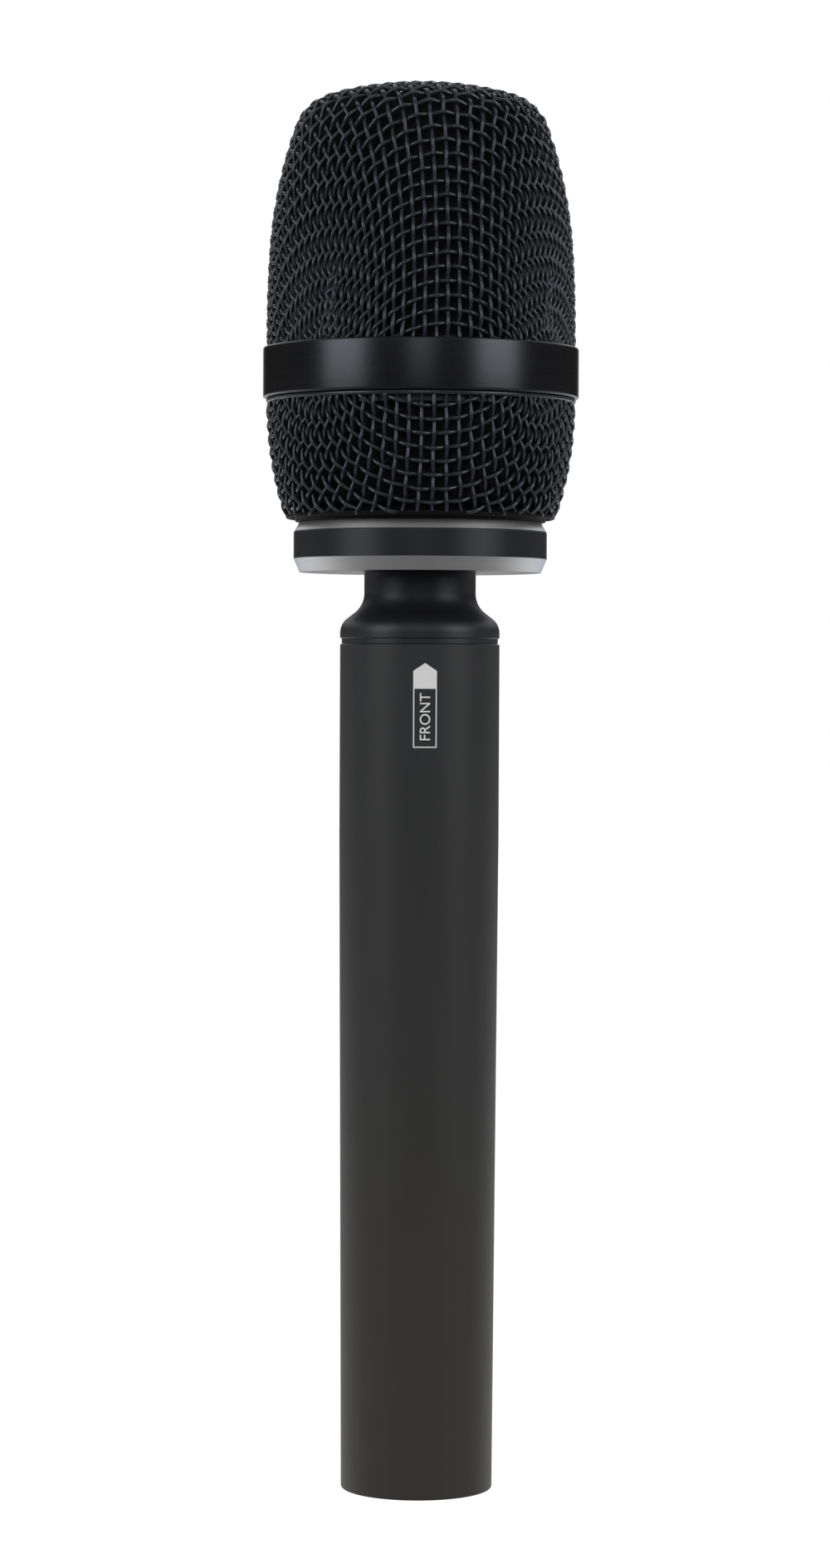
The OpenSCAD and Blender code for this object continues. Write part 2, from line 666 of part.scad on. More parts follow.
module clamp_ring() {
    r = ring_d / 2;
    e = ring_edge_r;
    bore_r = thread_d / 2 + thread_gap;
    ledge_z = ring_top_z - lip_h;
    lip_in_r = basket_r + fit_gap;
    color("black")
        rotate_extrude()
            polygon(concat(
                [[bore_r, ring_z]],
                arc([r - e, ring_z + e], e, -90, 0),
                arc([r - e, ring_top_z - e], e, 0, 90),
                [[lip_in_r, ring_top_z], [lip_in_r, ledge_z], [bore_r, ledge_z]]
            ));
}

module upper_grille() {
    hem = upper_straight_h + lip_h - fit_gap;
    color("black")
        wire_net(UPPER_ARCS, UPPER_ROOT, 1, upper_start, mesh_pitch, -hem, upper_counts, true);
}

module upper_foam() {
    foam_low = ring_z + thread_h + foam_gap;
    color("dimgray")
        rotate_extrude()
            polygon(lining(
                UPPER_ARCS, UPPER_ROOT, 1, foam_low - upper_root_z, chain_length(UPPER_ARCS), upper_foam_t
            ));
}

module capsule_post() {
    foot_z = plate_top_z + fit_gap;
    color("silver")
        difference() {
            union() {
                translate([0, 0, foot_z])
                    cylinder(d = post_foot_d, h = post_foot_t);
                translate([0, 0, foot_z])
                    cylinder(d = post_d, h = post_top_z - foot_z);
            }
            translate([0, 0, foot_z - cut])
                cylinder(d = post_bore_d, h = post_top_z - foot_z + 2 * cut);
        }
}

module post_isolator() {
    color("black")
        tube(post_d / 2 + fit_gap + isolator_wall, post_d / 2 + fit_gap, post_top_z - isolator_h, post_top_z);
}

// Frame with a socket for the post and one cup for each capsule
module capsule_frame() {
    cup_r = capsule_d / 2 + fit_gap;
    socket_low = post_top_z - isolator_h - socket_skirt;
    socket_top = post_top_z + socket_cap_t;
    color("silver")
        difference() {
            union() {
                translate([0, 0, array_z])
                    sphere(r = stem_bore_r + hub_wall);
                translate([0, 0, socket_low])
                    cylinder(r = stem_bore_r + stem_wall, h = array_z - socket_low);
                translate([0, 0, socket_low])
                    cylinder(r = socket_r + cup_wall, h = socket_top - socket_low);
                for (direction = DIRECTIONS)
                    facing(direction) {
                        cylinder(d = arm_d, h = array_r - cup_floor_t / 2);
                        translate([0, 0, array_r - cup_floor_t])
                            cylinder(r = cup_r + cup_wall, h = cup_floor_t + cup_h);
                    }
            }
            translate([0, 0, socket_low - cut])
                cylinder(r = socket_r, h = post_top_z + fit_gap - socket_low + cut);
            translate([0, 0, socket_low])
                cylinder(r = stem_bore_r, h = array_z + stem_bore_r - socket_low);
            for (direction = DIRECTIONS)
                facing(direction) {
                    cylinder(d = lead_d + 6 * fit_gap, h = array_r + cut, $fn = 32);
                    translate([0, 0, array_r])
                        cylinder(r = cup_r, h = capsule_h);
                }
        }
}

// Levels inside a capsule, from the array's centre outwards
capsule_back = array_r + fit_gap;
capsule_floor = capsule_back + capsule_back_t;
capsule_front = capsule_back + capsule_h;

module capsule(direction) {
    color("silver")
        facing(direction)
            difference() {
                translate([0, 0, capsule_back])
                    cylinder(d = capsule_d, h = capsule_h);
                translate([0, 0, capsule_floor])
                    cylinder(r = capsule_in_r, h = capsule_h);
            }
}

module capsule_front_left() {
    capsule(FRONT_LEFT);
}

module capsule_front_right() {
    capsule(FRONT_RIGHT);
}

module capsule_back_left() {
    capsule(BACK_LEFT);
}

module capsule_back_right() {
    capsule(BACK_RIGHT);
}

// A round plate at one level of each capsule, with a centre hole and a ring of holes
module capsule_discs(level, r, thickness, holes, hole_d) {
    for (direction = DIRECTIONS)
        facing(direction)
            translate([0, 0, level])
                difference() {
                    cylinder(r = r, h = thickness);
                    if (holes > 0)
                        translate([0, 0, -cut])
                            cylinder(d = hole_d, h = thickness + 2 * cut, $fn = 24);
                    for (i = [1:1:holes])
                        rotate([0, 0, 360 / holes * i])
                            translate([hole_circle * r, 0, -cut])
                                cylinder(d = hole_d, h = thickness + 2 * cut, $fn = 24);
                }
}

module capsule_caps() {
    color("silver")
        capsule_discs(capsule_front + fit_gap, capsule_d / 2, cap_t, cap_holes, cap_hole_d);
}

module capsule_diaphragms() {
    color("gold")
        capsule_discs(capsule_floor + backplate_t + 2 * fit_gap, capsule_in_r - fit_gap, diaphragm_t, 0, 0);
}

module capsule_backplates() {
    color("goldenrod")
        capsule_discs(
            capsule_floor + fit_gap, capsule_in_r - fit_gap, backplate_t, backplate_holes, backplate_hole_d
        );
}

module capsule_leads() {
    bend = lead_ring_r / sin(acos(1 / sqrt(3)));
    low = board_z + board_l - solder_l;
    color("red")
        for (direction = DIRECTIONS) {
            knee = direction / norm(direction) * bend + [0, 0, array_z];
            facing(direction)
                translate([0, 0, bend])
                    cylinder(d = lead_d, h = array_r - bend, $fn = 24);
            translate(knee)
                sphere(d = 1.25 * lead_d, $fn = 24);
            translate([knee.x, knee.y, low])
                cylinder(d = lead_d, h = knee.z - low, $fn = 24);
        }
}

module preamp_board() {
    color("darkgreen")
        translate([-board_w / 2, -board_t / 2, board_z])
            cube([board_w, board_t, board_l]);
}

// Two rails with a slot for the board's edges
module board_rails() {
    color("silver")
        for (side = [0, 180])
            rotate([0, 0, side])
                difference() {
                    intersection() {
                        translate([0, 0, rail_z + fit_gap])
                            cylinder(r = plug_r, h = rail_l - 2 * fit_gap);
                        translate([board_w / 2 - rail_slot, -rail_w / 2, rail_z])
                            cube([plug_r, rail_w, rail_l]);
                    }
                    translate([0, -board_t / 2 - fit_gap, rail_z - cut])
                        cube([board_w / 2 + fit_gap, board_t + 2 * fit_gap, rail_l + 2 * cut]);
                }
}

module upper_bulkhead() {
    color("silver")
        tube(plug_r, lead_bore_d / 2 + edge_break, upper_bulkhead_z, upper_bulkhead_z + bulkhead_t - fit_gap);
}

module lower_bulkhead() {
    color("silver")
        tube(plug_r, barrel_bore_d / 2, lower_bulkhead_z, lower_bulkhead_z + bulkhead_t);
}

// Half-round transistor bodies on the board's front face
module buffer_transistors() {
    face = board_t / 2 + fit_gap;
    low = board_z + board_l - transistor_drop;
    color("black")
        for (column = [-0.5, 0.5], row = [0, 1])
            translate([column * part_column, -face, low + row * transistor_step])
                intersection() {
                    cylinder(r = transistor_r, h = transistor_h, $fn = 48);
                    translate([-transistor_r, -transistor_r, 0])
                        cube([2 * transistor_r, transistor_r, transistor_h]);
                }
}

// Round capacitors that lie on the board's front face
module coupling_capacitors() {
    y = -board_t / 2 - fit_gap - capacitor_r;
    color("navy")
        for (column = [-0.5, 0.5], row = [0, 1])
            translate([column * part_column, y, board_z + board_l - capacitor_drop + row * capacitor_step])
                cylinder(r = capacitor_r, h = capacitor_l, $fn = 48);
}

// Flat amplifier chips on the board's back face
module output_stages() {
    color("black")
        for (x = [-part_column / 2, part_column / 2], z = [chip_rise, chip_rise + chip_step])
            translate([x - chip_w / 2, board_t / 2 + fit_gap, board_z + z])
                cube([chip_w, chip_t, chip_h]);
}

// Plug block between the round board on the pins and the preamplifier board
module board_header() {
    low = tail_board_z + tail_board_t + pin_tail + fit_gap;
    color("black")
        translate([-header_w / 2, -header_d / 2, low])
            cube([header_w, header_d, board_z - fit_gap - low]);
}

module connector_shell() {
    flange_z = mouth_bore_l - connector_flange_h;
    color("black")
        difference() {
            union() {
                translate([0, 0, retainer_z])
                    cylinder(d = barrel_d, h = barrel_l);
                translate([0, 0, flange_z])
                    cylinder(r = mouth_fit_r, h = connector_flange_h - fit_gap);
            }
            difference() {
                translate([0, 0, retainer_z - cut])
                    cylinder(d = barrel_bore_d, h = barrel_l + 2 * cut);
                // Key that the plug's slot finds
                translate([-key_w / 2, -barrel_bore_d / 2 - cut, retainer_z])
                    cube([key_w, key_d + cut, barrel_l - insulator_h - fit_gap]);
            }
        }
}

module pin_places() {
    for (i = [1:outer_pins])
        rotate([0, 0, 360 / outer_pins * i])
            translate([outer_circle_d / 2, 0, 0])
                children();
    for (i = [1:inner_pins])
        rotate([0, 0, 360 / inner_pins * i + 90])
            translate([inner_circle_d / 2, 0, 0])
                children();
}

module connector_insulator() {
    low = barrel_top_z - insulator_h;
    color("dimgray")
        difference() {
            translate([0, 0, low])
                cylinder(r = barrel_bore_d / 2 - fit_gap, h = insulator_h);
            pin_places()
                translate([0, 0, low - cut])
                    cylinder(d = pin_d + 2 * fit_gap, h = insulator_h + 2 * cut, $fn = 24);
        }
}

module contact_pins() {
    tip = 0.3 * pin_d;
    low = tail_board_z + tail_board_t + pin_tail - pin_l;
    color("gold")
        pin_places()
            rotate_extrude($fn = 24)
                polygon([
                    [0, low], [pin_d / 2 - tip, low], [pin_d / 2, low + 2 * tip],
                    [pin_d / 2, low + pin_l], [0, low + pin_l]
                ]);
}

// Threaded ring that holds the connector in the grip, with two slots for a pin spanner
module retaining_ring() {
    color("silver")
        difference() {
            tube(mouth_fit_r, barrel_d / 2 + 2 * fit_gap, retainer_z, retainer_z + retainer_h - fit_gap);
            translate([-mouth_bore_d, -spanner_w / 2, retainer_z - cut])
                cube([2 * mouth_bore_d, spanner_w, cut + retainer_h / 2]);
        }
}

module tail_board() {
    color("darkgreen")
        difference() {
            translate([0, 0, tail_board_z])
                cylinder(d = barrel_d, h = tail_board_t);
            pin_places()
                translate([0, 0, tail_board_z - cut])
                    cylinder(d = pin_d + 2 * fit_gap, h = tail_board_t + 2 * cut, $fn = 24);
        }
}

grip_tube();
neck_collar();
head_plate();
lower_grille();
basket_foot();
foot_screws();
threaded_ring();
lower_foam();
clamp_ring();
upper_grille();
upper_foam();
capsule_post();
post_isolator();
capsule_frame();
capsule_front_left();
capsule_front_right();
capsule_back_left();
capsule_back_right();
capsule_caps();
capsule_diaphragms();
capsule_backplates();
capsule_leads();
preamp_board();
board_rails();
upper_bulkhead();
lower_bulkhead();
buffer_transistors();
coupling_capacitors();
output_stages();
board_header();
connector_shell();
connector_insulator();
contact_pins();
retaining_ring();
tail_board();
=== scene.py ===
# A four-capsule surround microphone: slim charcoal grip, black neck and head plate,
# and a woven wire basket in two halves, of which the upper one unscrews.
import json
import math

import bmesh
import bpy
import numpy as np
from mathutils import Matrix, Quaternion, Vector


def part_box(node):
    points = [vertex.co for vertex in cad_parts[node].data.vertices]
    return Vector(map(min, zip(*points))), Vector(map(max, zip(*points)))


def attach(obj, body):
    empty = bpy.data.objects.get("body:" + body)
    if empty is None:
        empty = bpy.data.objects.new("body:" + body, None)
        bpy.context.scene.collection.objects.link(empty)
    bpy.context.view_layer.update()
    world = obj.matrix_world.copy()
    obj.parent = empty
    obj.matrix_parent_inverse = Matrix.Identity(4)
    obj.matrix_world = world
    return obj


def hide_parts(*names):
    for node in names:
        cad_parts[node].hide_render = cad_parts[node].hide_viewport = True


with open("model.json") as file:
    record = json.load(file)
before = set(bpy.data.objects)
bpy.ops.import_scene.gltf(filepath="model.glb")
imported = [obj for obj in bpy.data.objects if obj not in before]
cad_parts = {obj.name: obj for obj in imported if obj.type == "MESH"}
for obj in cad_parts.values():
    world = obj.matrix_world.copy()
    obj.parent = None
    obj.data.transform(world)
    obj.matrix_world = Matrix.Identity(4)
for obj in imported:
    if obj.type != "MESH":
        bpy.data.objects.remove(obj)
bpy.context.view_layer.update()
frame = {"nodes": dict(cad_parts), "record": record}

MM = 0.001
SEED = 7

# Levels and radii that the frame gives, in metres
GRIP_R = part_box("grip_tube")[1].x
RING_LOW, RING_HIGH = (corner.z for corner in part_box("clamp_ring"))
BASKET_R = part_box("upper_grille")[1].x
BASKET_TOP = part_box("upper_grille")[1].z
LOWER_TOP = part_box("lower_grille")[1].z
PLATE_LOW, PLATE_TOP = (corner.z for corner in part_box("head_plate"))
PLATE_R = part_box("head_plate")[1].x
THREAD_LOW, THREAD_HIGH = (corner.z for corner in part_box("threaded_ring"))

# Bevels of the head plate, as in the solid, and the width of a finish's edge
TOP_BEVEL, LOW_BEVEL, BEVEL_W = 1.6 * MM, 2.1 * MM, 0.9 * MM
EDGE = 0.05 * MM

# Wire cloth of the baskets
WIRE_D = 0.6 * MM
WIRE_SIDES, WIRE_STEPS = 8, 4
CLOTH_T = 2 * WIRE_D
CLOTH_PITCH = 2.03 * MM
CLOTH_LOCK = 1.3 * MM
CLOTH_UNEVEN = 0.04 * MM
UPPER_CLOTH_TURN = math.radians(6)
LOWER_CLOTH_TURN = math.radians(1)

# How far the cloth goes into the clamp ring, under the hem and past the plate's edge,
# and the spare length of the outline that it is cut from
CLOTH_LIP = 3.0 * MM
CLOTH_UNDER_HEM = 0.4 * MM
CLOTH_OVER_PLATE = 0.85 * MM
CLOTH_SPARE = 12 * MM

# Radii and slopes of the baskets' outlines, as in the solids
UPPER_STRAIGHT = 2.2 * MM
WALL_R, WALL_SLOPE = 200 * MM, math.radians(3.7)
TURN_R, TURN_SLOPE = 70 * MM, math.radians(19.7)
CORNER_R, CORNER_SLOPE = 7 * MM, math.radians(74)
LOWER_STRAIGHT = 1 * MM
BARREL_R = 54 * MM
FOOT_R = 1.3 * MM
FOOT_ZONE = 2 * MM

# Hem band under the clamp ring, and hem wire at the foot
HEM_H = 0.7 * MM
HEM_EDGE = 0.2 * MM
HEM_INSET = 0.02 * MM
FOOT_HEM_R = 0.38 * MM
FOOT_HEM_SIDES = 12
RING_SIDES = 192

# Foam behind the cloth
FOAM_GAP = 0.45 * MM
FOAM_RIM_GAP = 0.8 * MM
FOAM_FOOT_GAP = 0.2 * MM
FOAM_SPARE = 2 * MM
FOAM_EDGE = 0.4
FOAM_UNEVEN = 0.05 * MM
FOAM_ROWS, FOAM_SIDES = 60, 120
UPPER_FOAM_T = 2.8 * MM
LOWER_FOAM_T = 2.3 * MM

# Thread on the fixed ring
THREAD_PITCH = 1 * MM
THREAD_FLANGE = 1.6 * MM
THREAD_RUNOUT = 0.8 * MM
THREAD_CREST = 22.14 * MM
THREAD_RIDGE = 0.30 * MM
THREAD_STEPS = 96

# Printed mark on the front of the grip
MARK_LOW, MARK_HIGH = 114.8 * MM, 127.65 * MM
MARK_W = 3.6 * MM
MARK_TIP = 1.2 * MM
MARK_HEAD = 3.9 * MM
MARK_LINE = 0.17 * MM
MARK_FILM = 0.03 * MM
MARK_STRIP = 0.3 * MM
MARK_LETTER_H = 1.6 * MM
MARK_WORD_L = 7.15 * MM
MARK_WORD_LOW = 115.95 * MM

# Camera: its turn round the microphone in degrees, its place and what it looks at
CAMERA_TURN = -3.9
CAMERA_DISTANCE = 655 * MM
CAMERA_HEIGHT = 125.7 * MM
AIM_HEIGHT = 109.0 * MM
AIM_ASIDE = -0.64 * MM
CAMERA_ROLL = math.radians(0.25)
LENS, SENSOR = 97.4, 36

# Light that falls from all round, and what reflections see: dark sides, a dim ceiling and
# white paper behind. Edges and fades are shares of a direction backwards or upwards.
AMBIENT = 0.58
SIDE_GLOW = 0.015
BACK_EDGE = (0.95, 0.995)
CEILING_GLOW = 0.16
CEILING_FADE = (-0.05, 0.85)
CEILING_EDGE = (0.14, 0.36)

# Floor: its level, reach and diffuse grey, its glow to the eye near and far, and to reflections
FLOOR_LEVEL = -0.45
FLOOR_REACH = 6
FLOOR_GREY = 0.20
FLOOR_NEAR, FLOOR_FAR = 0.82, 0.98
FLOOR_FADE = (0.6, 2.0)
FLOOR_MIRRORED = 0.85
FLOOR_BEHIND = (-0.6, 0.9)

# Soft boxes at the sides stand this many degrees from the camera
SIDE_LIGHT_TURN = 57


class Socket:
    """A node's output that takes part in arithmetic: each operator adds a Math node."""

    def __init__(self, nodes, output):
        self.nodes = nodes
        self.output = output

    def math(self, operation, first, second):
        return self.nodes.add("ShaderNodeMath", {"operation": operation}, {0: first, 1: second})

    def __add__(self, other):
        return self.math("ADD", self, other)

    def __radd__(self, other):
        return self.math("ADD", other, self)

    def __sub__(self, other):
        return self.math("SUBTRACT", self, other)

    def __rsub__(self, other):
        return self.math("SUBTRACT", other, self)

    def __mul__(self, other):
        return self.math("MULTIPLY", self, other)

    def __rmul__(self, other):
        return self.math("MULTIPLY", other, self)


class Nodes:
    """A shader tree with one method that makes any node."""

    def __init__(self, tree):
        self.tree = tree
        tree.nodes.clear()

    def add(self, kind, settings=None, inputs=None, output=0):
        node = self.tree.nodes.new(kind)
        for name, value in (settings or {}).items():
            setattr(node, name, value)
        for name, value in (inputs or {}).items():
            self.feed(node.inputs[name], value)
        return Socket(self, node.outputs[output]) if len(node.outputs) else node

    def feed(self, socket, value):
        if isinstance(value, Socket):
            self.tree.links.new(value.output, socket)
        else:
            socket.default_value = value

    def rise(self, value, low, high):
        """A smooth step from 0 to 1 while a value goes from low to high."""
        span = {"Value": value, "From Min": low, "From Max": high}
        return self.add("ShaderNodeMapRange", {"interpolation_type": "SMOOTHSTEP"}, span)


class Finish(Nodes):
    """A material with one Principled shader, whose patterns read the object's coordinates."""

    def __init__(self, name):
        self.material = bpy.data.materials.new(name)
        self.material.use_nodes = True
        super().__init__(self.material.node_tree)
        self.shader = self.tree.nodes.new("ShaderNodeBsdfPrincipled")
        self.add("ShaderNodeOutputMaterial", None, {"Surface": Socket(self, self.shader.outputs[0])})
        self.coords = self.add("ShaderNodeTexCoord", output="Object")

    def set(self, values):
        for name, value in values.items():
            self.feed(self.shader.inputs[name], value)

    def height(self):
        return self.add("ShaderNodeSeparateXYZ", None, {"Vector": self.coords}, "Z")

    def noise(self, size, detail=2.0, roughness=0.5, coords=None):
        """Soft random values from 0 to 1, with features of the given size in metres."""
        values = {
            "Vector": coords or self.coords, "Scale": 1 / size,
            "Detail": detail, "Roughness": roughness,
        }
        return self.add("ShaderNodeTexNoise", {"noise_dimensions": "3D"}, values, "Fac")

    def scaled(self, x, y, z):
        """The coordinates times one factor for each axis: a small one draws a pattern out."""
        return self.add("ShaderNodeMapping", None, {"Vector": self.coords, "Scale": (x, y, z)})

    def blend(self, factor, first, second):
        """A colour between two colours."""
        colours = {"Factor": factor, 6: first, 7: second}
        return self.add("ShaderNodeMix", {"data_type": "RGBA"}, colours, 2)

    def bump(self, height, depth, under=None):
        """A relief of the given depth, which may lie on another one."""
        values = {"Height": height, "Distance": depth, "Strength": 1.0}
        if under:
            values["Normal"] = under
        return self.add("ShaderNodeBump", None, values)


def grey(level, tint=(1, 1, 1)):
    """An opaque grey, which may be tinted."""
    return tuple(level * share for share in tint) + (1,)


COOL = (0.95, 1.0, 1.10)
WARM = (1.08, 1.0, 0.90)
BLUISH = (0.84, 0.97, 1.24)
BLUE_SHEEN = (0.87, 0.89, 1.0, 1)


def charcoal_coat():
    """Fine-grained charcoal lacquer of the grip, painted a little paler and warmer towards its lower
    end as painted bounce light from the floor.
    """
    coat = Finish("charcoal_coat")
    grain = coat.noise(0.16 * MM, 3, 0.6)
    cloud = coat.noise(9 * MM, 2)
    height = coat.height()
    # Painted light: the paler, warmer tone towards the lower end stands in for light bounced up from
    # the white floor
    painted_bounce_share = 1 - coat.rise(height, 0, 125 * MM)
    patchy = 0.4 * grain + 0.6 * cloud
    upper_tone = coat.blend(patchy, grey(0.017, COOL), grey(0.025, COOL))
    painted_bounce_tone = coat.blend(patchy, grey(0.034, WARM), grey(0.042, WARM))
    coat.set({
        "Base Color": coat.blend(painted_bounce_share, upper_tone, painted_bounce_tone),
        "Roughness": 0.42 + 0.12 * grain + 0.04 * cloud,
        "Normal": coat.bump(grain, 0.012 * MM),
        "Specular IOR Level": 0.5,
    })
    return coat.material


def black_satin():
    """Satin black anodised metal with faint turning lines, slightly crowned on the clamp ring."""
    coat = Finish("black_satin")
    lines = coat.noise(0.5 * MM, 3, 0.6, coat.scaled(0.02, 0.02, 4))
    speck = coat.noise(0.25 * MM, 2)
    height = coat.height()
    half = (RING_HIGH - RING_LOW) / 2
    middle = RING_LOW + half
    share = (height - middle) * (1 / half)
    off = coat.add("ShaderNodeClamp", None, {"Value": share, "Min": -1, "Max": 1})
    crown = coat.bump(1 - off * off, 0.10 * MM)
    coat.set({
        "Base Color": coat.blend(lines, grey(0.002, COOL), grey(0.005, COOL)),
        "Roughness": 0.23 + 0.06 * lines + 0.05 * speck,
        "Normal": coat.bump(0.6 * lines + 0.4 * speck, 0.003 * MM, crown),
        "Specular IOR Level": 0.62,
        "Specular Tint": BLUE_SHEEN,
    })
    return coat.material


def plate_coat():
    """Matte black anodised head plate. Its two bevels are bare satin metal; the upper one is painted
    paler, as a painted reflection of bright light.
    """
    coat = Finish("plate_coat")
    lines = coat.noise(0.5 * MM, 3, 0.6, coat.scaled(0.02, 0.02, 4))
    grain = coat.noise(0.18 * MM, 3, 0.6)
    flat = coat.add("ShaderNodeVectorMath", {"operation": "MULTIPLY"}, {0: coat.coords, 1: (1, 1, 0)})
    radius = coat.add("ShaderNodeVectorMath", {"operation": "LENGTH"}, {0: flat}, "Value")
    height = coat.height()
    low, high = PLATE_LOW + LOW_BEVEL, PLATE_TOP - TOP_BEVEL + 4 * EDGE
    side = coat.rise(height, low - EDGE, low) * (1 - coat.rise(height, high, high + EDGE))
    bare = (1 - side) * coat.rise(radius, PLATE_R - BEVEL_W - EDGE, PLATE_R - BEVEL_W)
    low_metal = coat.blend(lines, grey(0.56), grey(0.66))
    # Painted reflection: the upper bevel's paler metal stands in for bright light it would reflect,
    # which the basket above keeps off it
    metal = coat.blend(coat.rise(height, low, high), low_metal, grey(0.84))
    coat.set({
        "Base Color": coat.blend(bare, coat.blend(grain, grey(0.007, COOL), grey(0.012, COOL)), metal),
        "Metallic": bare,
        "Roughness": 0.36 + 0.08 * grain,
        "Normal": coat.bump(0.5 * lines + 0.5 * grain, 0.004 * MM),
        "Specular IOR Level": 0.55,
        "Specular Tint": BLUE_SHEEN,
    })
    return coat.material


def black_matte():
    """Matte black lacquer of the neck and its collar."""
    coat = Finish("black_matte")
    grain = coat.noise(0.18 * MM, 3, 0.6)
    coat.set({
        "Base Color": coat.blend(grain, grey(0.006, COOL), grey(0.011, COOL)),
        "Roughness": 0.40 + 0.10 * grain,
        "Normal": coat.bump(grain, 0.008 * MM),
        "Specular IOR Level": 0.68,
        "Specular Tint": BLUE_SHEEN,
    })
    return coat.material


def painted_wire():
    """Black lacquered steel wire of the baskets, a little uneven where the lacquer pooled."""
    coat = Finish("painted_wire")
    pooled = coat.noise(1.1 * MM, 2)
    speck = coat.noise(0.12 * MM, 2)
    coat.set({
        "Base Color": coat.blend(pooled, grey(0.013, BLUISH), grey(0.025, BLUISH)),
        "Roughness": 0.17 + 0.12 * pooled + 0.05 * speck,
        "Normal": coat.bump(speck, 0.010 * MM),
        "Specular IOR Level": 0.72,
        "Specular Tint": BLUE_SHEEN,
    })
    return coat.material


def open_foam():
    """Dark open-cell foam that lines the baskets."""
    coat = Finish("open_foam")
    values = {"Vector": coat.coords, "Scale": 1 / (0.55 * MM)}
    cells = coat.add("ShaderNodeTexVoronoi", {"feature": "F1"}, values, "Distance")
    soft = coat.noise(3 * MM, 2)
    coat.set({
        "Base Color": coat.blend(cells, grey(0.003), grey(0.010)),
        "Roughness": 0.92 + 0.06 * soft,
        "Normal": coat.bump(cells, 0.12 * MM),
        "Specular IOR Level": 0.1,
    })
    return coat.material


def turned_metal(name, colour, roughness, line=0.35):
    """Bare turned or milled metal with fine tool lines."""
    coat = Finish(name)
    lines = coat.noise(line * MM, 3, 0.6, coat.scaled(0.05, 0.05, 3))
    stain = coat.noise(5 * MM, 2)
    dark = tuple(0.78 * c for c in colour[:3]) + (1,)
    coat.set({
        "Base Color": coat.blend(0.5 * lines + 0.5 * stain, dark, colour),
        "Metallic": 1.0,
        "Roughness": roughness + 0.10 * lines,
        "Normal": coat.bump(lines, 0.004 * MM),
    })
    return coat.material


def moulded(name, colour, roughness, grain=0.2, depth=0.010, gloss=0.5):
    """Moulded plastic, rubber or lacquer with a fine surface grain."""
    coat = Finish(name)
    pores = coat.noise(grain * MM, 3, 0.6)
    cloud = coat.noise(4 * MM, 2)
    light = tuple(min(1.0, 1.3 * c) for c in colour[:3]) + (1,)
    coat.set({
        "Base Color": coat.blend(0.5 * pores + 0.5 * cloud, colour, light),
        "Roughness": roughness + 0.10 * pores,
        "Normal": coat.bump(pores, depth * MM),
        "Specular IOR Level": gloss,
    })
    return coat.material


def circuit_board():
    """Green solder mask with the faint weave of the glass cloth and raised tracks."""
    coat = Finish("circuit_board")
    weave = coat.noise(0.6 * MM, 2, 0.5, coat.scaled(1, 1, 0.25))
    quarter_turn = (math.radians(90), 0, 0)
    upright = coat.add("ShaderNodeMapping", None, {"Vector": coat.coords, "Rotation": quarter_turn})
    bricks = {"Vector": upright, "Scale": 1 / (2.4 * MM), "Mortar Size": 0.05}
    tracks = coat.add("ShaderNodeTexBrick", {"offset": 0.5}, bricks, "Fac")
    coat.set({
        "Base Color": coat.blend(tracks, (0.006, 0.045, 0.018, 1), (0.015, 0.085, 0.035, 1)),
        "Roughness": 0.30 + 0.15 * weave,
        "Normal": coat.bump(tracks + 0.2 * weave, 0.02 * MM),
    })
    return coat.material


def print_film():
    """Pale grey ink of the front mark, a little thin in places."""
    coat = Finish("print_film")
    thin = coat.noise(0.35 * MM, 3, 0.6)
    coat.set({
        "Base Color": coat.blend(thin, grey(0.72), grey(0.86)),
        "Roughness": 0.55 + 0.10 * thin,
        "Normal": coat.bump(thin, 0.006 * MM),
    })
    return coat.material


FINISHES = {
    "grip_coat": charcoal_coat(),
    "black_satin": black_satin(),
    "plate_coat": plate_coat(),
    # The foot coat's dull near-black is partly painted shade, for the shadow line under the basket's
    # foot
    "foot_coat": moulded("foot_coat", grey(0.003), 0.60, 0.25, 0.010, 0.15),
    "black_matte": black_matte(),
    "wire": painted_wire(),
    "foam": open_foam(),
    "bare_metal": turned_metal("bare_metal", (0.62, 0.63, 0.65, 1), 0.28),
    "steel": turned_metal("steel", (0.50, 0.50, 0.51, 1), 0.30, 0.2),
    "capsule_metal": turned_metal("capsule_metal", (0.72, 0.72, 0.70, 1), 0.22, 0.25),
    "gold_film": turned_metal("gold_film", (0.90, 0.68, 0.30, 1), 0.12, 0.8),
    "brass": turned_metal("brass", (0.80, 0.58, 0.25, 1), 0.25, 0.3),
    "rubber": moulded("rubber", grey(0.012), 0.75, 0.3, 0.02),
    "lead": moulded("lead", (0.35, 0.02, 0.015, 1), 0.45),
    "board": circuit_board(),
    "chip": moulded("chip", grey(0.012), 0.50, 0.15),
    "capacitor": moulded("capacitor", (0.012, 0.022, 0.10, 1), 0.30, 0.5, 0.004),
    "insulator": moulded("insulator", grey(0.03), 0.45),
    "print": print_film(),
}


def dress_frame():
    """Gives each CAD node the finish of its material slot."""
    for part in frame["record"]["subparts"]:
        for slot in frame["nodes"][part["node"]].material_slots:
            slot.material = FINISHES[part["material_slot"]]


def add_object(name, data):
    piece = bpy.data.objects.new(name, data)
    bpy.context.scene.collection.objects.link(piece)
    return piece


def solid_object(name, mesh, finish):
    """Turns a bmesh into an object with one material."""
    data = bpy.data.meshes.new(name)
    mesh.to_mesh(data)
    mesh.free()
    data.materials.append(finish)
    return add_object(name, data)


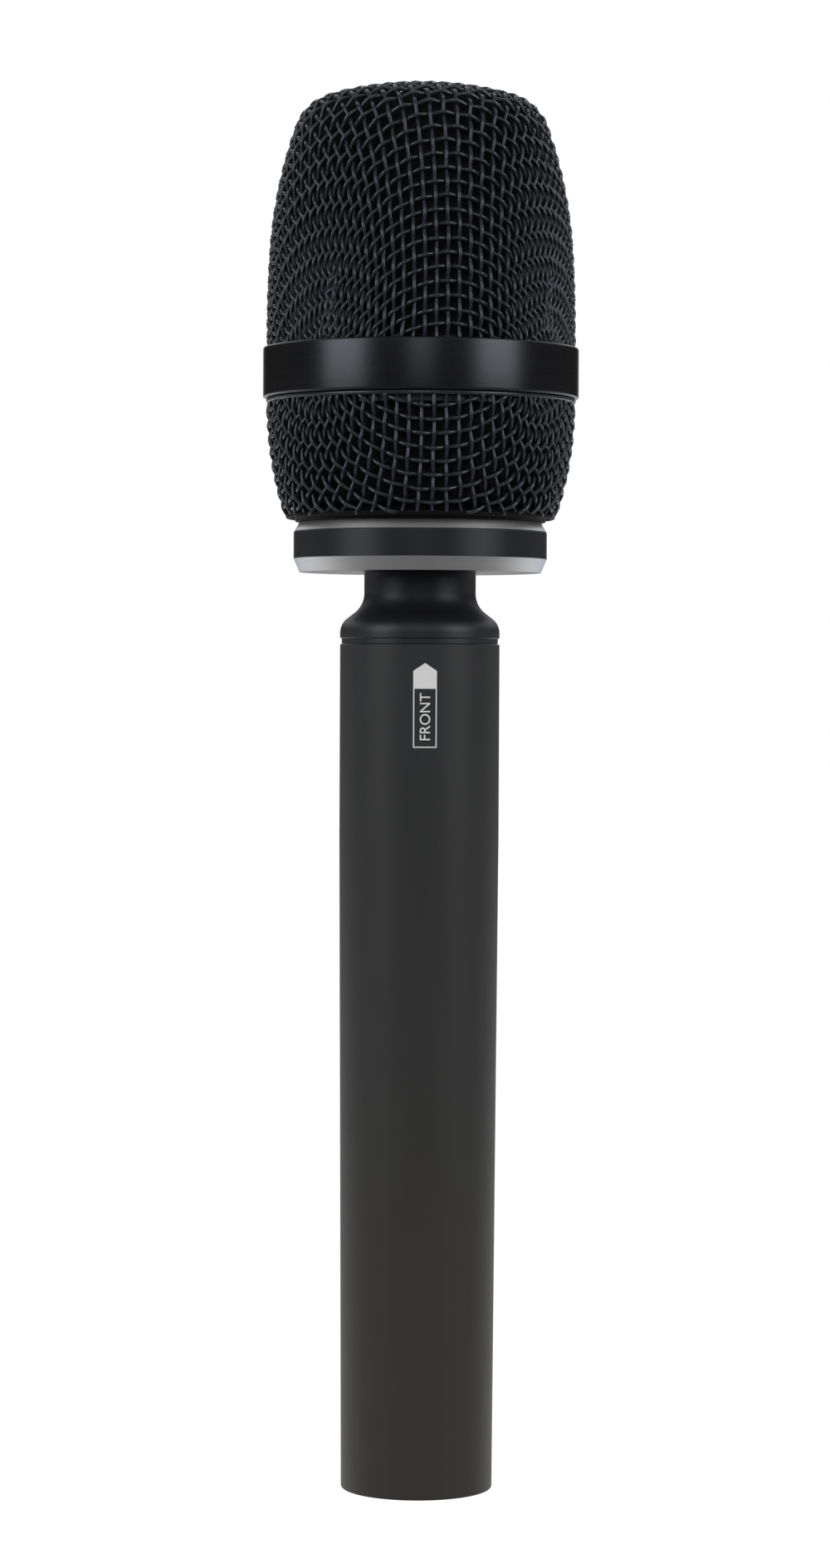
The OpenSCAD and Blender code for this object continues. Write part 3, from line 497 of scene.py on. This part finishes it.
class Rule:
    """A geometry node tree with named inputs, which grows a plain mesh from a start mesh."""

    def __init__(self, name, inputs):
        self.tree = bpy.data.node_groups.new(name, "GeometryNodeTree")
        face = self.tree.interface
        face.new_socket("Geometry", in_out="INPUT", socket_type="NodeSocketGeometry")
        for label, kind in inputs.items():
            face.new_socket(label, in_out="INPUT", socket_type=kind)
        face.new_socket("Geometry", in_out="OUTPUT", socket_type="NodeSocketGeometry")
        self.start = self.tree.nodes.new("NodeGroupInput")
        self.end = self.tree.nodes.new("NodeGroupOutput")

    def given(self, label):
        return self.start.outputs[label]

    def add(self, kind, settings=None, inputs=None, output=0):
        node = self.tree.nodes.new(kind)
        for name, value in (settings or {}).items():
            setattr(node, name, value)
        for name, value in (inputs or {}).items():
            if isinstance(value, bpy.types.NodeSocket):
                self.tree.links.new(value, node.inputs[name])
            else:
                node.inputs[name].default_value = value
        return node.outputs[output]

    def close(self, geometry, finish):
        """Ends the tree: smooth faces, real geometry and its material."""
        smooth = self.add("GeometryNodeSetShadeSmooth", None, {"Geometry": geometry})
        real = self.add("GeometryNodeRealizeInstances", None, {"Geometry": smooth})
        dressed = self.add("GeometryNodeSetMaterial", None, {"Geometry": real, "Material": finish})
        self.tree.links.new(dressed, self.end.inputs["Geometry"])

    def grow(self, name, mesh, values):
        """A new piece whose mesh is the outcome of the tree, with the named inputs set."""
        piece = add_object(name, mesh)
        modifier = piece.modifiers.new("rule", "NODES")
        modifier.node_group = self.tree
        for item in self.tree.interface.items_tree:
            if item.in_out == "INPUT" and item.name in values:
                modifier[item.identifier] = values[item.name]
        depsgraph = bpy.context.evaluated_depsgraph_get()
        grown = bpy.data.meshes.new_from_object(piece.evaluated_get(depsgraph), depsgraph=depsgraph)
        piece.modifiers.remove(modifier)
        piece.data = grown
        grown.name = name
        return piece


class Outline:
    """A basket's outline, from its pole outwards, as dense points.

    A flat comes first, then arcs that are given as (radius, slope at the end), and then a
    straight wall. Each point has a radius r, a height z and a distance s along the outline.
    """

    STEP = 0.25 * MM

    def __init__(self, pole, up, flat_r, arcs, straight, depth):
        centre = np.array([flat_r, -arcs[0][0]])
        points = [(x, -depth) for x in np.arange(0, flat_r, self.STEP)]
        slope = math.pi / 2
        for n, (radius, end) in enumerate(arcs):
            count = max(4, int(radius * (slope - end) / self.STEP))
            for a in np.linspace(slope, end, count, endpoint=False):
                points.append(centre + (radius - depth) * np.array([math.cos(a), math.sin(a)]))
            slope = end
            following = arcs[n + 1][0] if n + 1 < len(arcs) else radius
            centre = centre + (radius - following) * np.array([math.cos(end), math.sin(end)])
        wall = centre + np.array([arcs[-1][0] - depth, 0])
        for drop in np.arange(0, straight, self.STEP):
            points.append(wall - [0, drop])
        points = np.array(points)
        self.r = points[:, 0]
        self.z = pole + up * points[:, 1]
        self.r[0] = 0
        gaps = np.hypot(np.diff(self.r), np.diff(self.z))
        self.s = np.concatenate([[0], np.cumsum(gaps)])
        self.up = up

    def at(self, s):
        return np.interp(s, self.s, self.r), np.interp(s, self.s, self.z)

    def point(self, s, angle):
        r, z = self.at(s)
        return np.array([r * math.cos(angle), r * math.sin(angle), z])

    def normals(self, s):
        """Outward slope of the outline at each distance: its share outwards and its share upwards."""
        near = 0.4 * MM
        r0, z0 = self.at(np.maximum(s - near, 0))
        r1, z1 = self.at(s + near)
        along = np.hypot(r1 - r0, z1 - z0)
        return self.up * (z0 - z1) / along, self.up * (r1 - r0) / along


def upper_outline(depth, straight):
    """The domed outline of the upper basket, at a depth under its outside."""
    wall = BASKET_R - WALL_R * (1 - math.cos(WALL_SLOPE))
    turn = wall - TURN_R * (math.cos(WALL_SLOPE) - math.cos(TURN_SLOPE))
    corner = turn - CORNER_R * (math.cos(TURN_SLOPE) - math.cos(CORNER_SLOPE))
    cap_r = corner / math.cos(CORNER_SLOPE)
    arcs = [(cap_r, CORNER_SLOPE), (CORNER_R, TURN_SLOPE), (TURN_R, WALL_SLOPE), (WALL_R, 0)]
    return Outline(BASKET_TOP, 1, 0, arcs, straight, depth)


def lower_outline(depth, straight):
    """The barrel-shaped outline of the lower basket, from the head plate upwards."""
    height = RING_LOW - PLATE_TOP
    slope = math.asin((height - FOOT_R - LOWER_STRAIGHT) / (BARREL_R - FOOT_R))
    flat_r = BASKET_R - BARREL_R * (1 - math.cos(slope)) - FOOT_R * math.cos(slope)
    return Outline(PLATE_TOP, -1, flat_r, [(FOOT_R, slope), (BARREL_R, 0)], straight, depth)


def meridian(outline, angle, pitch, reach):
    """Distances of a straight wire's crossings, each one pitch from the last."""
    places = [0.0]
    while places[-1] < reach:
        last = outline.point(places[-1], angle)
        s = places[-1] + pitch
        for _ in range(6):
            s += pitch - np.linalg.norm(outline.point(s, angle) - last)
        places.append(s)
    return places


def next_crossing(outline, first, second, corner, pitch):
    """The crossing that is one pitch from two known ones, on the far side from the third."""
    a, b = outline.point(*first), outline.point(*second)
    guess = a + b - outline.point(*corner)
    s = 1.5 * max(first[0], second[0]) - 0.5 * corner[0]
    angle = math.atan2(guess[1], guess[0])
    small, exact, singular = 0.1 * MM, 1e-8, 1e-6
    for _ in range(30):
        p = outline.point(s, angle)
        miss = np.array([np.linalg.norm(p - a), np.linalg.norm(p - b)]) - pitch
        if abs(miss).max() < exact:
            return s, angle
        r = max(outline.at(s)[0], MM)
        slopes = []
        for ds, da in ((small, 0), (0, small / r)):
            q = outline.point(s + ds, angle + da)
            moved = np.array([np.linalg.norm(q - a), np.linalg.norm(q - b)]) - pitch
            slopes.append((moved - miss) / small)
        jacobian = np.array(slopes).T
        if abs(np.linalg.det(jacobian)) < singular:
            return None
        step = np.clip(np.linalg.solve(jacobian, miss), -MM, MM)
        s, angle = s - step[0], angle - step[1] / r
    return None


def drape(outline, pitch, reach):
    """Crossings of a square cloth laid over the outline from its pole.

    They are given as {(row, column): (distance, angle)}. The two wires through the
    pole run straight down, and every other crossing lies one pitch from two
    neighbours, so the cloth shears but doesn't stretch.
    """
    straight = meridian(outline, 0, pitch, reach)
    quarter = {(0, 0): (0.0, math.pi / 4)}
    for k, s in enumerate(straight[1:], 1):
        quarter[k, 0] = (s, 0.0)
        quarter[0, k] = (s, math.pi / 2)
    for i in range(1, len(straight)):
        for j in range(1, len(straight)):
            known = [quarter.get(key) for key in ((i - 1, j), (i, j - 1), (i - 1, j - 1))]
            if None in known or max(known[0][0], known[1][0]) > reach:
                continue
            found = next_crossing(outline, *known, pitch)
            if found:
                quarter[i, j] = found
    cloth = {(0, 0): (0.0, 0.0)}
    for (i, j), (s, angle) in quarter.items():
        if i < 1:
            continue
        for turn in range(4):
            cloth[i, j] = (s, angle + turn * math.pi / 2)
            i, j = -j, i
    return cloth


def settle(outline, cloth, pitch, lock, rounds=500):
    """Evens the cloth out on its outline.

    Wires keep about one pitch and bend smoothly. Cells resist shear a little,
    and a lot once two opposite corners come closer than lock.
    """
    # How hard a wire resists getting shorter, a cell resists shear and a wire resists bending
    give, shear, stiffness = 0.2, 0.02, 0.12
    keys = list(cloth)
    index = {key: n for n, key in enumerate(keys)}
    wires = [
        (n, index[i + di, j + dj])
        for (i, j), n in index.items() for di, dj in ((1, 0), (0, 1)) if (i + di, j + dj) in index
    ]
    cells = []
    for (i, j), n in index.items():
        corners = [index.get(key) for key in ((i + 1, j), (i + 1, j + 1), (i, j + 1))]
        if None not in corners:
            cells += [(n, corners[1]), (corners[0], corners[2])]
    wires, cells = np.array(wires), np.array(cells)
    bends = [
        (index[i - di, j - dj], n, index[i + di, j + dj])
        for (i, j), n in index.items() for di, dj in ((1, 0), (0, 1))
        if (i - di, j - dj) in index and (i + di, j + dj) in index
    ]
    before, bent, after = np.array(bends).T
    # Pairs of crossings, their length at rest, and how hard they pull and push
    diagonal = math.sqrt(2) * pitch
    springs = ((wires, pitch, 1, give), (cells, lock, 0, 1), (cells, diagonal, shear, shear))
    s, angle = np.array([cloth[key] for key in keys]).T
    r, z = outline.at(s)
    p = np.c_[r * np.cos(angle), r * np.sin(angle), z]
    middle = (outline.z[0] + outline.z[-1]) / 2
    bearing = np.arctan2(outline.up * (outline.z - middle), outline.r)
    for _ in range(rounds):
        move = np.zeros_like(p)
        weight = np.zeros(len(p))
        np.add.at(move, bent, stiffness * ((p[before] + p[after]) / 2 - p[bent]))
        np.add.at(weight, bent, stiffness)
        for pairs, rest, pulls, pushes in springs:
            span = p[pairs[:, 1]] - p[pairs[:, 0]]
            length = np.linalg.norm(span, axis=1)
            miss = length - rest
            share = np.where(miss > 0, pulls, pushes)
            pull = span / length[:, None] * (miss * share / 2)[:, None]
            np.add.at(move, pairs[:, 0], pull)
            np.add.at(move, pairs[:, 1], -pull)
            np.add.at(weight, pairs[:, 0], share)
            np.add.at(weight, pairs[:, 1], share)
        p += move / np.maximum(weight, 1)[:, None]
        tilt = np.arctan2(outline.up * (p[:, 2] - middle), np.hypot(p[:, 0], p[:, 1]))
        s = np.interp(-tilt, -bearing, outline.s)
        angle = np.arctan2(p[:, 1], p[:, 0])
        r, z = outline.at(s)
        p = np.c_[r * np.cos(angle), r * np.sin(angle), z]
    return {key: (s[n], angle[n]) for key, n in index.items()}


def wire_paths(outline, cloth, along, start, end, turn):
    """Each wire as (distance, angle, side) points, cut where it leaves the span from start to end.

    The side says whether the wire passes over, 1, or under, -1. A cut end has side 0.
    """
    lines = {}
    for key in cloth:
        lines.setdefault(key[1 - along], []).append(key)
    uneven = np.random.default_rng(SEED + along)
    paths = []
    for across in sorted(lines):
        keys = sorted(lines[across], key=lambda key: key[along])
        path = []
        last = None
        for key in keys:
            s, angle = cloth[key]
            if last and key[along] - last[0] > 1:
                paths.append(path)
                path, last = [], None
            if last:
                _, last_s, last_angle = last
                for edge in (start, end):
                    if (last_s - edge) * (s - edge) < 0:
                        share = (edge - last_s) / (s - last_s)
                        swing = (angle - last_angle + math.pi) % (2 * math.pi) - math.pi
                        path.append((edge, last_angle + share * swing, 0))
            if start <= s <= end:
                path.append((s, angle, 1 if (sum(key) + along) % 2 else -1))
            elif len(path) > 1:
                paths.append(path)
                path = []
            else:
                path = path[-1:] if path and path[-1][2] == 0 else []
            last = (key[along], s, angle)
        paths.append(path)
    shaken = []
    for path in paths:
        if len(path) > 1:
            shift = uneven.normal(0, CLOTH_UNEVEN, (len(path), 2))
            shaken.append([
                (min(max(s + ds, start), end), angle + turn + da / max(outline.at(s)[0], 2 * MM), side)
                for (s, angle, side), (ds, da) in zip(path, shift)
            ])
    return shaken


def path_mesh(name, outline, paths):
    """Edges along the wires, with the direction in which each crossing is pushed out or in."""
    points = []
    edges = []
    lifts = []
    for path in paths:
        s, angle, side = np.array(path).T
        r, z = outline.at(s)
        out, rise = outline.normals(s)
        first = len(points)
        points += np.c_[r * np.cos(angle), r * np.sin(angle), z].tolist()
        lifts += (np.c_[out * np.cos(angle), out * np.sin(angle), rise] * side[:, None]).tolist()
        edges += [(n, n + 1) for n in range(first, first + len(path) - 1)]
    mesh = bpy.data.meshes.new(name)
    mesh.from_pydata(points, edges, [])
    lift = mesh.attributes.new("lift", "FLOAT_VECTOR", "POINT")
    lift.data.foreach_set("vector", np.array(lifts).ravel())
    return mesh


def wire_rule():
    """Round wires along a mesh's edges, which bend over and under at the crossings."""
    rule = Rule("woven_wire", {
        "Wire diameter": "NodeSocketFloat",
        "Crimp": "NodeSocketFloat",
        "Sides": "NodeSocketInt",
        "Steps": "NodeSocketInt",
        "Finish": "NodeSocketMaterial",
    })
    lift = rule.add("GeometryNodeInputNamedAttribute", {"data_type": "FLOAT_VECTOR"}, {"Name": "lift"})
    push = rule.add(
        "ShaderNodeVectorMath", {"operation": "SCALE"}, {"Vector": lift, "Scale": rule.given("Crimp")}
    )
    bent = rule.add(
        "GeometryNodeSetPosition", None, {"Geometry": rule.given("Geometry"), "Offset": push}
    )
    curve = rule.add("GeometryNodeMeshToCurve", None, {"Mesh": bent})
    smooth = rule.add("GeometryNodeCurveSplineType", {"spline_type": "CATMULL_ROM"}, {"Curve": curve})
    fine = rule.add(
        "GeometryNodeSetSplineResolution", None, {"Geometry": smooth, "Resolution": rule.given("Steps")}
    )
    radius = rule.add(
        "ShaderNodeMath", {"operation": "MULTIPLY"}, {0: rule.given("Wire diameter"), 1: 0.5}
    )
    section = rule.add(
        "GeometryNodeCurvePrimitiveCircle", None, {"Resolution": rule.given("Sides"), "Radius": radius}
    )
    wires = rule.add(
        "GeometryNodeCurveToMesh", None, {"Curve": fine, "Profile Curve": section, "Fill Caps": True}
    )
    rule.close(wires, rule.given("Finish"))
    return rule


def thread_rule():
    """A helical ridge with a diamond section, of which the outer half shows."""
    rule = Rule("thread_ridge", {
        "Radius": "NodeSocketFloat",
        "Height": "NodeSocketFloat",
        "Turns": "NodeSocketFloat",
        "Low": "NodeSocketFloat",
        "Ridge": "NodeSocketFloat",
        "Finish": "NodeSocketMaterial",
    })
    spiral = rule.add("GeometryNodeCurveSpiral", None, {
        "Resolution": THREAD_STEPS, "Rotations": rule.given("Turns"), "Height": rule.given("Height"),
        "Start Radius": rule.given("Radius"), "End Radius": rule.given("Radius"),
    })
    lift = rule.add("ShaderNodeCombineXYZ", None, {"Z": rule.given("Low")})
    placed = rule.add("GeometryNodeSetPosition", None, {"Geometry": spiral, "Offset": lift})
    section = rule.add(
        "GeometryNodeCurvePrimitiveCircle", None, {"Resolution": 4, "Radius": rule.given("Ridge")}
    )
    ridge = rule.add(
        "GeometryNodeCurveToMesh", None, {"Curve": placed, "Profile Curve": section, "Fill Caps": True}
    )
    rule.close(ridge, rule.given("Finish"))
    return rule


def place(piece, body, replaced=()):
    """Puts a piece on its body and hides the CAD nodes it stands for."""
    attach(piece, body)
    if replaced:
        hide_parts(*replaced)


def weave(rule, name, outline, start, end, turn, body, replaced):
    """The warp and weft wires of one basket half."""
    cloth = settle(outline, drape(outline, CLOTH_PITCH, end + CLOTH_PITCH), CLOTH_PITCH, CLOTH_LOCK)
    values = {
        "Wire diameter": WIRE_D, "Crimp": WIRE_D / 2, "Sides": WIRE_SIDES, "Steps": WIRE_STEPS,
        "Finish": FINISHES["wire"],
    }
    for along, kind in enumerate(("warp", "weft")):
        label = f"{name}_{kind}_wires"
        paths = wire_paths(outline, cloth, along, start, end, turn)
        piece = rule.grow(label, path_mesh(label, outline, paths), values)
        place(piece, body, (replaced,))


def lathe(name, profile, sides, finish):
    """A closed ring or dome turned from a closed profile of (radius, height) points."""
    mesh = bmesh.new()
    rings = []
    for k in range(sides):
        a = 2 * math.pi * k / sides
        rings.append([mesh.verts.new((r * math.cos(a), r * math.sin(a), z)) for r, z in profile])
    for k in range(sides):
        here, following = rings[k], rings[(k + 1) % sides]
        for n in range(len(profile)):
            m = (n + 1) % len(profile)
            mesh.faces.new((here[n], following[n], following[m], here[m]))
    bmesh.ops.remove_doubles(mesh, verts=mesh.verts, dist=1e-7)
    bmesh.ops.recalc_face_normals(mesh, faces=mesh.faces)
    for face in mesh.faces:
        face.smooth = True
    return solid_object(name, mesh, finish)


def foam_lining(name, outline, start, end, thickness, body, replaced):
    """A foam lining that follows a basket's outline, with a softly uneven surface."""
    s = np.linspace(start, end, FOAM_ROWS)
    r, z = outline.at(s)
    out, rise = outline.normals(s)
    outer = np.c_[r, z]
    inner = outer - thickness * np.c_[out, rise]
    inner[:, 0] = np.maximum(inner[:, 0], 0)
    onward = np.array([-rise[-1], out[-1]]) * -outline.up
    edge = 0.5 * (outer[-1] + inner[-1]) + FOAM_EDGE * thickness * onward
    profile = np.vstack([outer, edge, inner[::-1]])
    piece = lathe(name, profile, FOAM_SIDES, FINISHES["foam"])
    rng = np.random.default_rng(SEED)
    for vertex in piece.data.vertices:
        inward = Vector((-vertex.co.x, -vertex.co.y, 0))
        if inward.length > 2 * MM:
            vertex.co += inward.normalized() * abs(rng.normal(0, FOAM_UNEVEN))
    place(piece, body, (replaced,))


def flat_curve(name, loops):
    """A filled flat shape from closed loops of points."""
    curve = bpy.data.curves.new(name, "CURVE")
    curve.dimensions = "2D"
    curve.fill_mode = "BOTH"
    for loop in loops:
        spline = curve.splines.new("POLY")
        spline.points.add(len(loop) - 1)
        spline.use_cyclic_u = True
        for point, (x, y) in zip(spline.points, loop):
            point.co = (x, y, 0, 1)
    return curve


def flat_word(name, word, low, length, height):
    """A word that reads upwards along the grip."""
    curve = bpy.data.curves.new(name, "FONT")
    curve.body = word
    curve.align_x = "LEFT"
    curve.align_y = "BOTTOM_BASELINE"
    mesh = flat_mesh(curve)
    points = np.array([v.co[:2] for v in mesh.vertices])
    size = points.max(0) - points.min(0)
    points = (points - points.min(0)) / size
    for vertex, (x, y) in zip(mesh.vertices, points):
        vertex.co = ((0.5 - y) * height, low + x * length, 0)
    return mesh


def flat_mesh(curve):
    """The mesh of a filled curve or text."""
    holder = add_object(curve.name, curve)
    depsgraph = bpy.context.evaluated_depsgraph_get()
    mesh = bpy.data.meshes.new_from_object(holder.evaluated_get(depsgraph), depsgraph=depsgraph)
    bpy.data.objects.remove(holder)
    return mesh


def print_on_grip(name, flats):
    """Wraps flat shapes round the front of the grip as a thin raised film."""
    mesh = bmesh.new()
    for flat in flats:
        mesh.from_mesh(flat)
    bmesh.ops.remove_doubles(mesh, verts=mesh.verts, dist=1e-6)
    for x in np.arange(-MARK_W / 2, MARK_W / 2, MARK_STRIP):
        everything = mesh.verts[:] + mesh.edges[:] + mesh.faces[:]
        bmesh.ops.bisect_plane(mesh, geom=everything, plane_co=(x, 0, 0), plane_no=(1, 0, 0))
    bmesh.ops.recalc_face_normals(mesh, faces=mesh.faces)
    grown = bmesh.ops.extrude_face_region(mesh, geom=mesh.faces[:])["geom"]
    for vertex in (g for g in grown if isinstance(g, bmesh.types.BMVert)):
        vertex.co.z = MARK_FILM
    for vertex in mesh.verts:
        x, y, lift = vertex.co
        r = GRIP_R - MARK_FILM / 3 + lift
        vertex.co = (r * math.sin(x / GRIP_R), -r * math.cos(x / GRIP_R), y)
    bmesh.ops.recalc_face_normals(mesh, faces=mesh.faces)
    return solid_object(name, mesh, FINISHES["print"])


def front_mark():
    """The outlined bar with a pointed, filled head that shows the microphone's front."""
    half = MARK_W / 2
    eave = MARK_HIGH - MARK_TIP
    head_low = MARK_HIGH - MARK_HEAD
    outer = [(-half, MARK_LOW), (half, MARK_LOW), (half, eave), (0, MARK_HIGH), (-half, eave)]
    inner_half = half - MARK_LINE
    floor = MARK_LOW + MARK_LINE
    window = [
        (-inner_half, floor), (inner_half, floor), (inner_half, head_low), (-inner_half, head_low),
    ]
    bar = flat_mesh(flat_curve("mark_bar", [outer, window]))
    word = flat_word("mark_word", "FRONT", MARK_WORD_LOW, MARK_WORD_L, MARK_LETTER_H)
    place(print_on_grip("front_mark", [bar, word]), "handle")


def lower_hem():
    """Rounded hem band that closes the lower cloth under the clamp ring."""
    outer = BASKET_R - HEM_INSET
    inner = BASKET_R - CLOTH_T
    top = LOWER_TOP
    low = top - HEM_H
    profile = [
        (inner, low), (outer - HEM_EDGE, low), (outer, low + HEM_EDGE),
        (outer, top - HEM_EDGE), (outer - HEM_EDGE, top), (inner, top),
    ]
    hem = lathe("lower_hem_band", profile, RING_SIDES, FINISHES["wire"])
    place(hem, "handle", ("lower_grille",))


def foot_hem(outline, start):
    """Hem wire that the lower cloth's ends are tied to at the foot. Its dull, near-black coat is partly
    painted shade, for the shadow line under the basket's foot.
    """
    r, z = outline.at(start)
    turns = np.linspace(0, 2 * math.pi, FOOT_HEM_SIDES, endpoint=False)
    profile = [(r + FOOT_HEM_R * math.cos(a), z + FOOT_HEM_R * math.sin(a)) for a in turns]
    hem = lathe("foot_hem_wire", profile, RING_SIDES, FINISHES["foot_coat"])
    place(hem, "handle", ("lower_grille",))


def thread_ridge():
    """Thread on the fixed ring, which shows when the upper basket is unscrewed."""
    start = bpy.data.meshes.new("thread_ridge")
    low = THREAD_LOW + THREAD_FLANGE + 2 * THREAD_RIDGE
    height = THREAD_HIGH - THREAD_RUNOUT - low
    piece = thread_rule().grow("thread_ridge", start, {
        "Radius": THREAD_CREST - THREAD_RIDGE, "Height": height, "Turns": height / THREAD_PITCH,
        "Low": low, "Ridge": THREAD_RIDGE, "Finish": FINISHES["black_satin"],
    })
    place(piece, "handle")


def area_light(name, toward, distance, height, width, tall, radiance):
    """A level soft box whose brightness is given as radiance, so its power follows its size."""
    lamp = bpy.data.lights.new(name, "AREA")
    lamp.shape = "RECTANGLE"
    lamp.size, lamp.size_y = width, tall
    lamp.energy = radiance * math.pi * width * tall
    holder = add_object(name, lamp)
    a = math.radians(toward)
    holder.location = (distance * math.sin(a), -distance * math.cos(a), height)
    aim = Vector((0, 0, height)) - holder.location
    holder.rotation_euler = aim.to_track_quat("-Z", "Y").to_euler()


def camera():
    """A long lens in front of the microphone, a little above its middle."""
    data = bpy.data.cameras.new("camera")
    data.sensor_width = SENSOR
    data.lens = LENS
    data.clip_start, data.clip_end = 0.01, 20
    holder = add_object("camera", data)
    a = math.radians(CAMERA_TURN)
    side = Vector((math.cos(a), math.sin(a), 0))
    back = Vector((math.sin(a), -math.cos(a), 0))
    holder.location = CAMERA_DISTANCE * back + Vector((0, 0, CAMERA_HEIGHT))
    aim = AIM_ASIDE * side + Vector((0, 0, AIM_HEIGHT))
    turn = (aim - holder.location).to_track_quat("-Z", "Y")
    holder.rotation_mode = "QUATERNION"
    holder.rotation_quaternion = turn @ Quaternion((0, 0, 1), CAMERA_ROLL)
    bpy.context.scene.camera = holder


def rays(nodes, *kinds):
    """1 for the kinds of ray that are named, and 0 for the others."""
    total = 0
    for kind in kinds:
        total = nodes.add("ShaderNodeLightPath", output=f"Is {kind} Ray") + total
    return nodes.add("ShaderNodeClamp", None, {"Value": total})


def white_room():
    """White to the eye. Reflections see white paper behind, a dim ceiling and dark sides."""
    world = bpy.data.worlds.new("studio")
    bpy.context.scene.world = world
    world.use_nodes = True
    sky = Nodes(world.node_tree)
    a = math.radians(CAMERA_TURN)
    way = sky.add("ShaderNodeTexCoord", output="Generated")
    axis = {0: way, 1: (-math.sin(a), math.cos(a), 0)}
    back = sky.add("ShaderNodeVectorMath", {"operation": "DOT_PRODUCT"}, axis, "Value")
    up = sky.add("ShaderNodeSeparateXYZ", None, {"Vector": way}, "Z")
    sides = SIDE_GLOW + (1 - SIDE_GLOW) * sky.rise(back, *BACK_EDGE)
    ceiling = CEILING_GLOW + (1 - CEILING_GLOW) * sky.rise(back, *CEILING_FADE)
    high = sky.rise(up, *CEILING_EDGE)
    reflected = high * ceiling + (1 - high) * sides
    direct = rays(sky, "Camera", "Transmission")
    glossy = rays(sky, "Glossy")
    strength = direct + (1 - direct) * (glossy * reflected + (1 - glossy) * AMBIENT)
    light = sky.add("ShaderNodeBackground", None, {"Color": grey(1.0), "Strength": strength})
    sky.add("ShaderNodeOutputWorld", None, {"Surface": light})


def white_floor():
    """White paper far below, shaded under the microphone, and dimmer in reflections in front."""
    paper = bpy.data.materials.new("floor_paper")
    paper.use_nodes = True
    nodes = Nodes(paper.node_tree)
    spot = nodes.add("ShaderNodeTexCoord", output="Object")
    distance = nodes.add("ShaderNodeVectorMath", {"operation": "LENGTH"}, {0: spot}, "Value")
    behind = nodes.add("ShaderNodeSeparateXYZ", None, {"Vector": spot}, "Y")
    paleness = FLOOR_NEAR + (FLOOR_FAR - FLOOR_NEAR) * nodes.rise(distance, *FLOOR_FADE)
    seen = rays(nodes, "Camera", "Transmission") * paleness
    glow = seen + rays(nodes, "Glossy") * (FLOOR_MIRRORED * nodes.rise(behind, *FLOOR_BEHIND))
    dull = nodes.add("ShaderNodeBsdfDiffuse", None, {"Color": grey(FLOOR_GREY)})
    white = nodes.add("ShaderNodeEmission", None, {"Color": grey(1.0), "Strength": glow})
    both = nodes.add("ShaderNodeAddShader", None, {0: dull, 1: white})
    nodes.add("ShaderNodeOutputMaterial", None, {"Surface": both})
    mesh = bpy.data.meshes.new("floor")
    corners = [
        (x * FLOOR_REACH, y * FLOOR_REACH, FLOOR_LEVEL)
        for x, y in ((-1, -1), (1, -1), (1, 1), (-1, 1))
    ]
    mesh.from_pydata(corners, [], [(0, 1, 2, 3)])
    mesh.materials.append(paper)
    floor = add_object("floor", mesh)


def studio():
    """Tall soft lights on both sides and a narrow one over the camera, all above the horizon."""
    white_room()
    white_floor()
    side = {"distance": 0.90, "height": 0.48, "width": 0.50, "tall": 0.6, "radiance": 3.1}
    front = {"distance": 1.10, "height": 0.68, "width": 0.30, "tall": 0.9, "radiance": 1.5}
    area_light("left_softbox", CAMERA_TURN - SIDE_LIGHT_TURN, **side)
    area_light("right_softbox", CAMERA_TURN + SIDE_LIGHT_TURN, **side)
    area_light("front_softbox", CAMERA_TURN, **front)
    bpy.context.scene.view_settings.view_transform = "Standard"


def baskets():
    """Both woven basket halves with their hems and foam linings."""
    rule = wire_rule()
    depth = CLOTH_T / 2
    foam_depth = CLOTH_T + FOAM_GAP
    cloth = upper_outline(depth, UPPER_STRAIGHT + CLOTH_SPARE)
    end = np.interp(-(RING_HIGH - CLOTH_LIP), -cloth.z, cloth.s)
    turn = -math.pi / 2 + UPPER_CLOTH_TURN
    weave(rule, "upper", cloth, 0, end, turn, "upper_basket", "upper_grille")
    foam = upper_outline(foam_depth, UPPER_STRAIGHT + FOAM_SPARE)
    foam_low = np.interp(-(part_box("upper_foam")[0].z + FOAM_RIM_GAP), -foam.z, foam.s)
    foam_lining("upper_foam_lining", foam, 0, foam_low, UPPER_FOAM_T, "foam_lining", "upper_foam")

    cloth = lower_outline(depth, LOWER_STRAIGHT + CLOTH_SPARE)
    foot = cloth.z < PLATE_TOP + FOOT_ZONE
    start = np.interp(PLATE_R + CLOTH_OVER_PLATE, cloth.r[foot], cloth.s[foot])
    end = np.interp(LOWER_TOP - CLOTH_UNDER_HEM, cloth.z, cloth.s)
    turn = -math.pi / 2 + LOWER_CLOTH_TURN
    weave(rule, "lower", cloth, start, end, turn, "handle", "lower_grille")
    foot_hem(cloth, start)
    foam = lower_outline(foam_depth, LOWER_STRAIGHT)
    low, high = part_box("lower_foam")
    span = np.interp([low.z + FOAM_FOOT_GAP, high.z - FOAM_RIM_GAP], foam.z, foam.s)
    foam_lining("lower_foam_lining", foam, span[0], span[1], LOWER_FOAM_T, "handle", "lower_foam")
    lower_hem()


camera()
studio()
dress_frame()
baskets()
front_mark()
thread_ridge()
